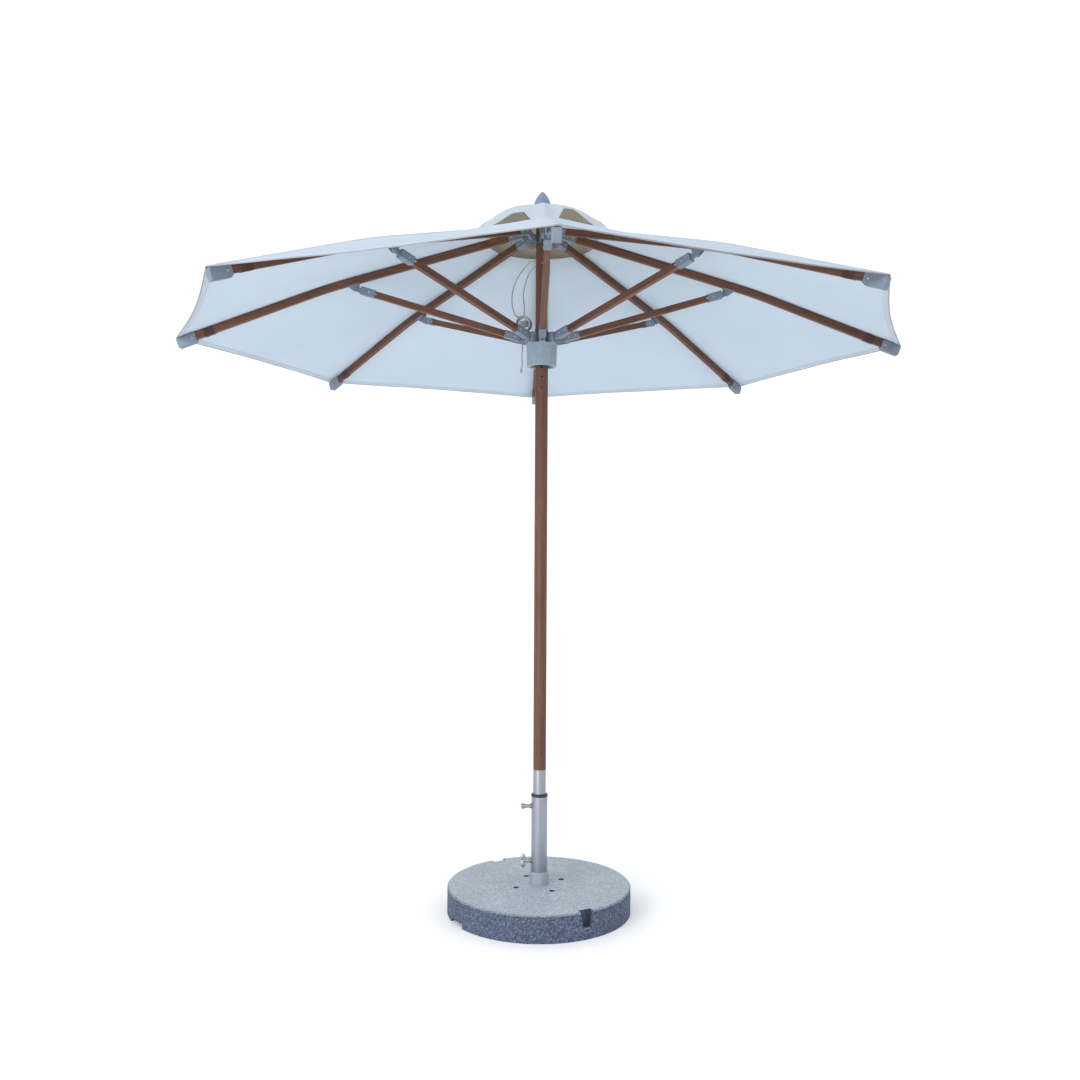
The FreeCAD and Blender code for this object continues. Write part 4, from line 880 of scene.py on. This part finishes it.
def make_ropes(fibre):
    """The fall with its hank and tail, the second strand and the lift line."""
    fall = [mm(-20, 0, 2443), mm(-45, 3, 2447), in_gap(74, -6, 2428), in_gap(104, -6, 2394),
            in_gap(122, -5, 2350), in_gap(127, -4, 2303), in_gap(119, -3, 2266), in_gap(107, -2, 2241)]
    tail = [in_gap(74, 0, 2167), in_gap(79, 2, 2143), in_gap(77, 3, 2115), in_gap(82, 1, 2087),
            in_gap(79, -2, 2061), in_gap(84, -1, 2036)]
    back = [mm(-20, 0, 2424), mm(-40, 5, 2418), in_gap(58, 4, 2390), in_gap(72, 5, 2348),
            in_gap(75, 5, 2310), in_gap(70, 4, 2277), in_gap(71, 4, 2251), in_gap(72, 3, 2236)]
    lift = [mm(20, 0, 2426), mm(30, -4, 2414), mm(27, -14, 2380), mm(22, -19, 2330),
            mm(21.5, -20, 2275), mm(21, -19.5, 2220), mm(21, -20, 2170)]
    routes = {"rope_fall": fall + hank_turns() + tail, "rope_second": back, "rope_lift": lift}
    for name, route in routes.items():
        line = spline_points(name, route)
        piece = rope_mesh(name, line, fibre)
        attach(piece, "pole")
    knot_place = Matrix.Translation(tail[-1])
    knot = joined_mesh("rope_end_knot", [lathe_points(KNOT_PROFILE, knot_place, 16)], fibre)
    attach(knot, "pole")
    wrap = rope_mesh("hank_wrap", wrap_turns(), fibre)
    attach(wrap, "pole")
    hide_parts("rope_line", "rope_hank")
    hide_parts("rope_line")
    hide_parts("rope_line")


# ---------------------------------------------------------------- materials on the CAD nodes

def paint(name, material):
    data = NODES[name].data
    data.materials.clear()
    data.materials.append(material)


def paint_frame():
    steel = metal_material("brushed_tube", (0.32, 0.335, 0.39), 0.34)
    sleeve = metal_material("satin_sleeve", (0.32, 0.335, 0.37), 0.3)
    zinc = metal_material("zinc_hardware", (0.42, 0.44, 0.48), 0.42, (1, 0, 0))
    fitting = resin_material("fitting_resin", (0.155, 0.19, 0.24))
    # Painted shade: the runner's and top hub's colours are darkened inside 0.044 m, in the gaps between the
    # ears round their inner tubes.
    hub = resin_material("hub_resin", (0.25, 0.31, 0.365), shade_radius=0.044)
    # Painted shade: the top hub's resin is painted darker than the runner's, for the canopy's shadow over it.
    top = resin_material("top_hub_resin_painted_shade", (0.155, 0.19, 0.24), shade_radius=0.044)
    black = resin_material("black_resin", (0.02, 0.022, 0.026), 0.45)
    paint("granite_base", granite_material())
    paint("anchor_plate", resin_material("plate_coating", (0.03, 0.03, 0.032), 0.4))
    paint("anchor_bolts", metal_material("bolt_zinc", (0.25, 0.26, 0.29), 0.5, (1, 0, 0)))
    paint("base_collar", metal_material("collar_cast", (0.36, 0.4, 0.45), 0.6, (0, 0, 1), 0.001, 0.5))
    paint("base_tube", steel)
    paint("tube_top_ring", black)
    paint("thumbscrew_upper", zinc)
    paint("thumbscrew_lower", zinc)
    # Painted shade on the walls of the pole's holes and pulley slot, inside 0.0232 m.
    paint("pole_wood", wood_material("pole_hardwood", (0, 0, 1), shade_radius=0.0232))
    paint("pole_sleeve", sleeve)
    paint("top_hub", top)
    paint("pole_pins", zinc)
    paint("pulley_sheave", resin_material("pulley_nylon", (0.6, 0.6, 0.6)))
    paint("finial", resin_material("finial_paint", (0.16, 0.215, 0.34), 0.4))
    paint("runner", hub)
    paint("runner_pins", zinc)
    paint("locking_pin", zinc)
    for number in range(1, RIBS + 1):
        rib_way = rib_frame(number).to_3x3() @ Vector((1, 0, 0))
        strut_way = strut_frame(number).to_3x3() @ Vector((1, 0, 0))
        # Painted shade: the ribs' wood is painted 5% darker than the struts', for the canopy's shade over
        # them.
        paint(f"rib_{number}", wood_material(f"rib_hardwood_{number}", rib_way, 0.95))
        paint(f"strut_{number}", wood_material(f"strut_hardwood_{number}", strut_way, 1.0))
        paint(f"rib_fittings_{number}", fitting)
        paint(f"strut_fittings_{number}", fitting)
    return zinc, black


# ---------------------------------------------------------------- stage

def make_stage():
    """A wide pale floor."""
    made = Nodes("studio_floor")
    speck = made.noise(made.place(), 30.0, 3.0)
    made.put(made.shader.inputs["Emission Color"], (1.0, 1.0, 1.0))
    made.put(made.shader.inputs["Emission Strength"], 0.06)
    made.finish(made.ramp(speck, [(0.3, (0.93, 0.93, 0.93)), (0.7, (0.96, 0.96, 0.96))]), 0.95)
    half = 60
    mesh = mesh_from("floor", [(-half, -half, 0), (half, -half, 0), (half, half, 0), (-half, half, 0)],
                     [(0, 1, 2, 3)])
    floor = add_object("floor", mesh, made.material)


make_camera()
make_lights()
make_ropes(rope_material())
zinc, black = paint_frame()
canvas = cloth_material("canopy_canvas", CLOTH_PALE, CLOTH_SHADE)
tape = cloth_material("hem_tape", BINDING, BINDING_SHADE, through=0.0)
# Painted light: warm tan on the vent cap's underside.
warm_underside = cloth_material("vent_underside_warm_light", WARM_UNDERSIDE, WARM_UNDERSIDE_SHADE, through=0.35)
webbing = resin_material("tip_webbing", (0.055, 0.02, 0.015), 0.65)
thread = cloth_material("thread", (0.6, 0.64, 0.68), (0.55, 0.58, 0.62), through=0.0)
for rib in range(1, RIBS + 1):
    make_gore(rib, canvas, tape, thread)
    make_vent(rib, canvas, warm_underside)
    make_rivets(rib, zinc)
    make_strap(rib, webbing)
make_crown(canvas)
make_mouth_shade_ring(black)
make_stage()
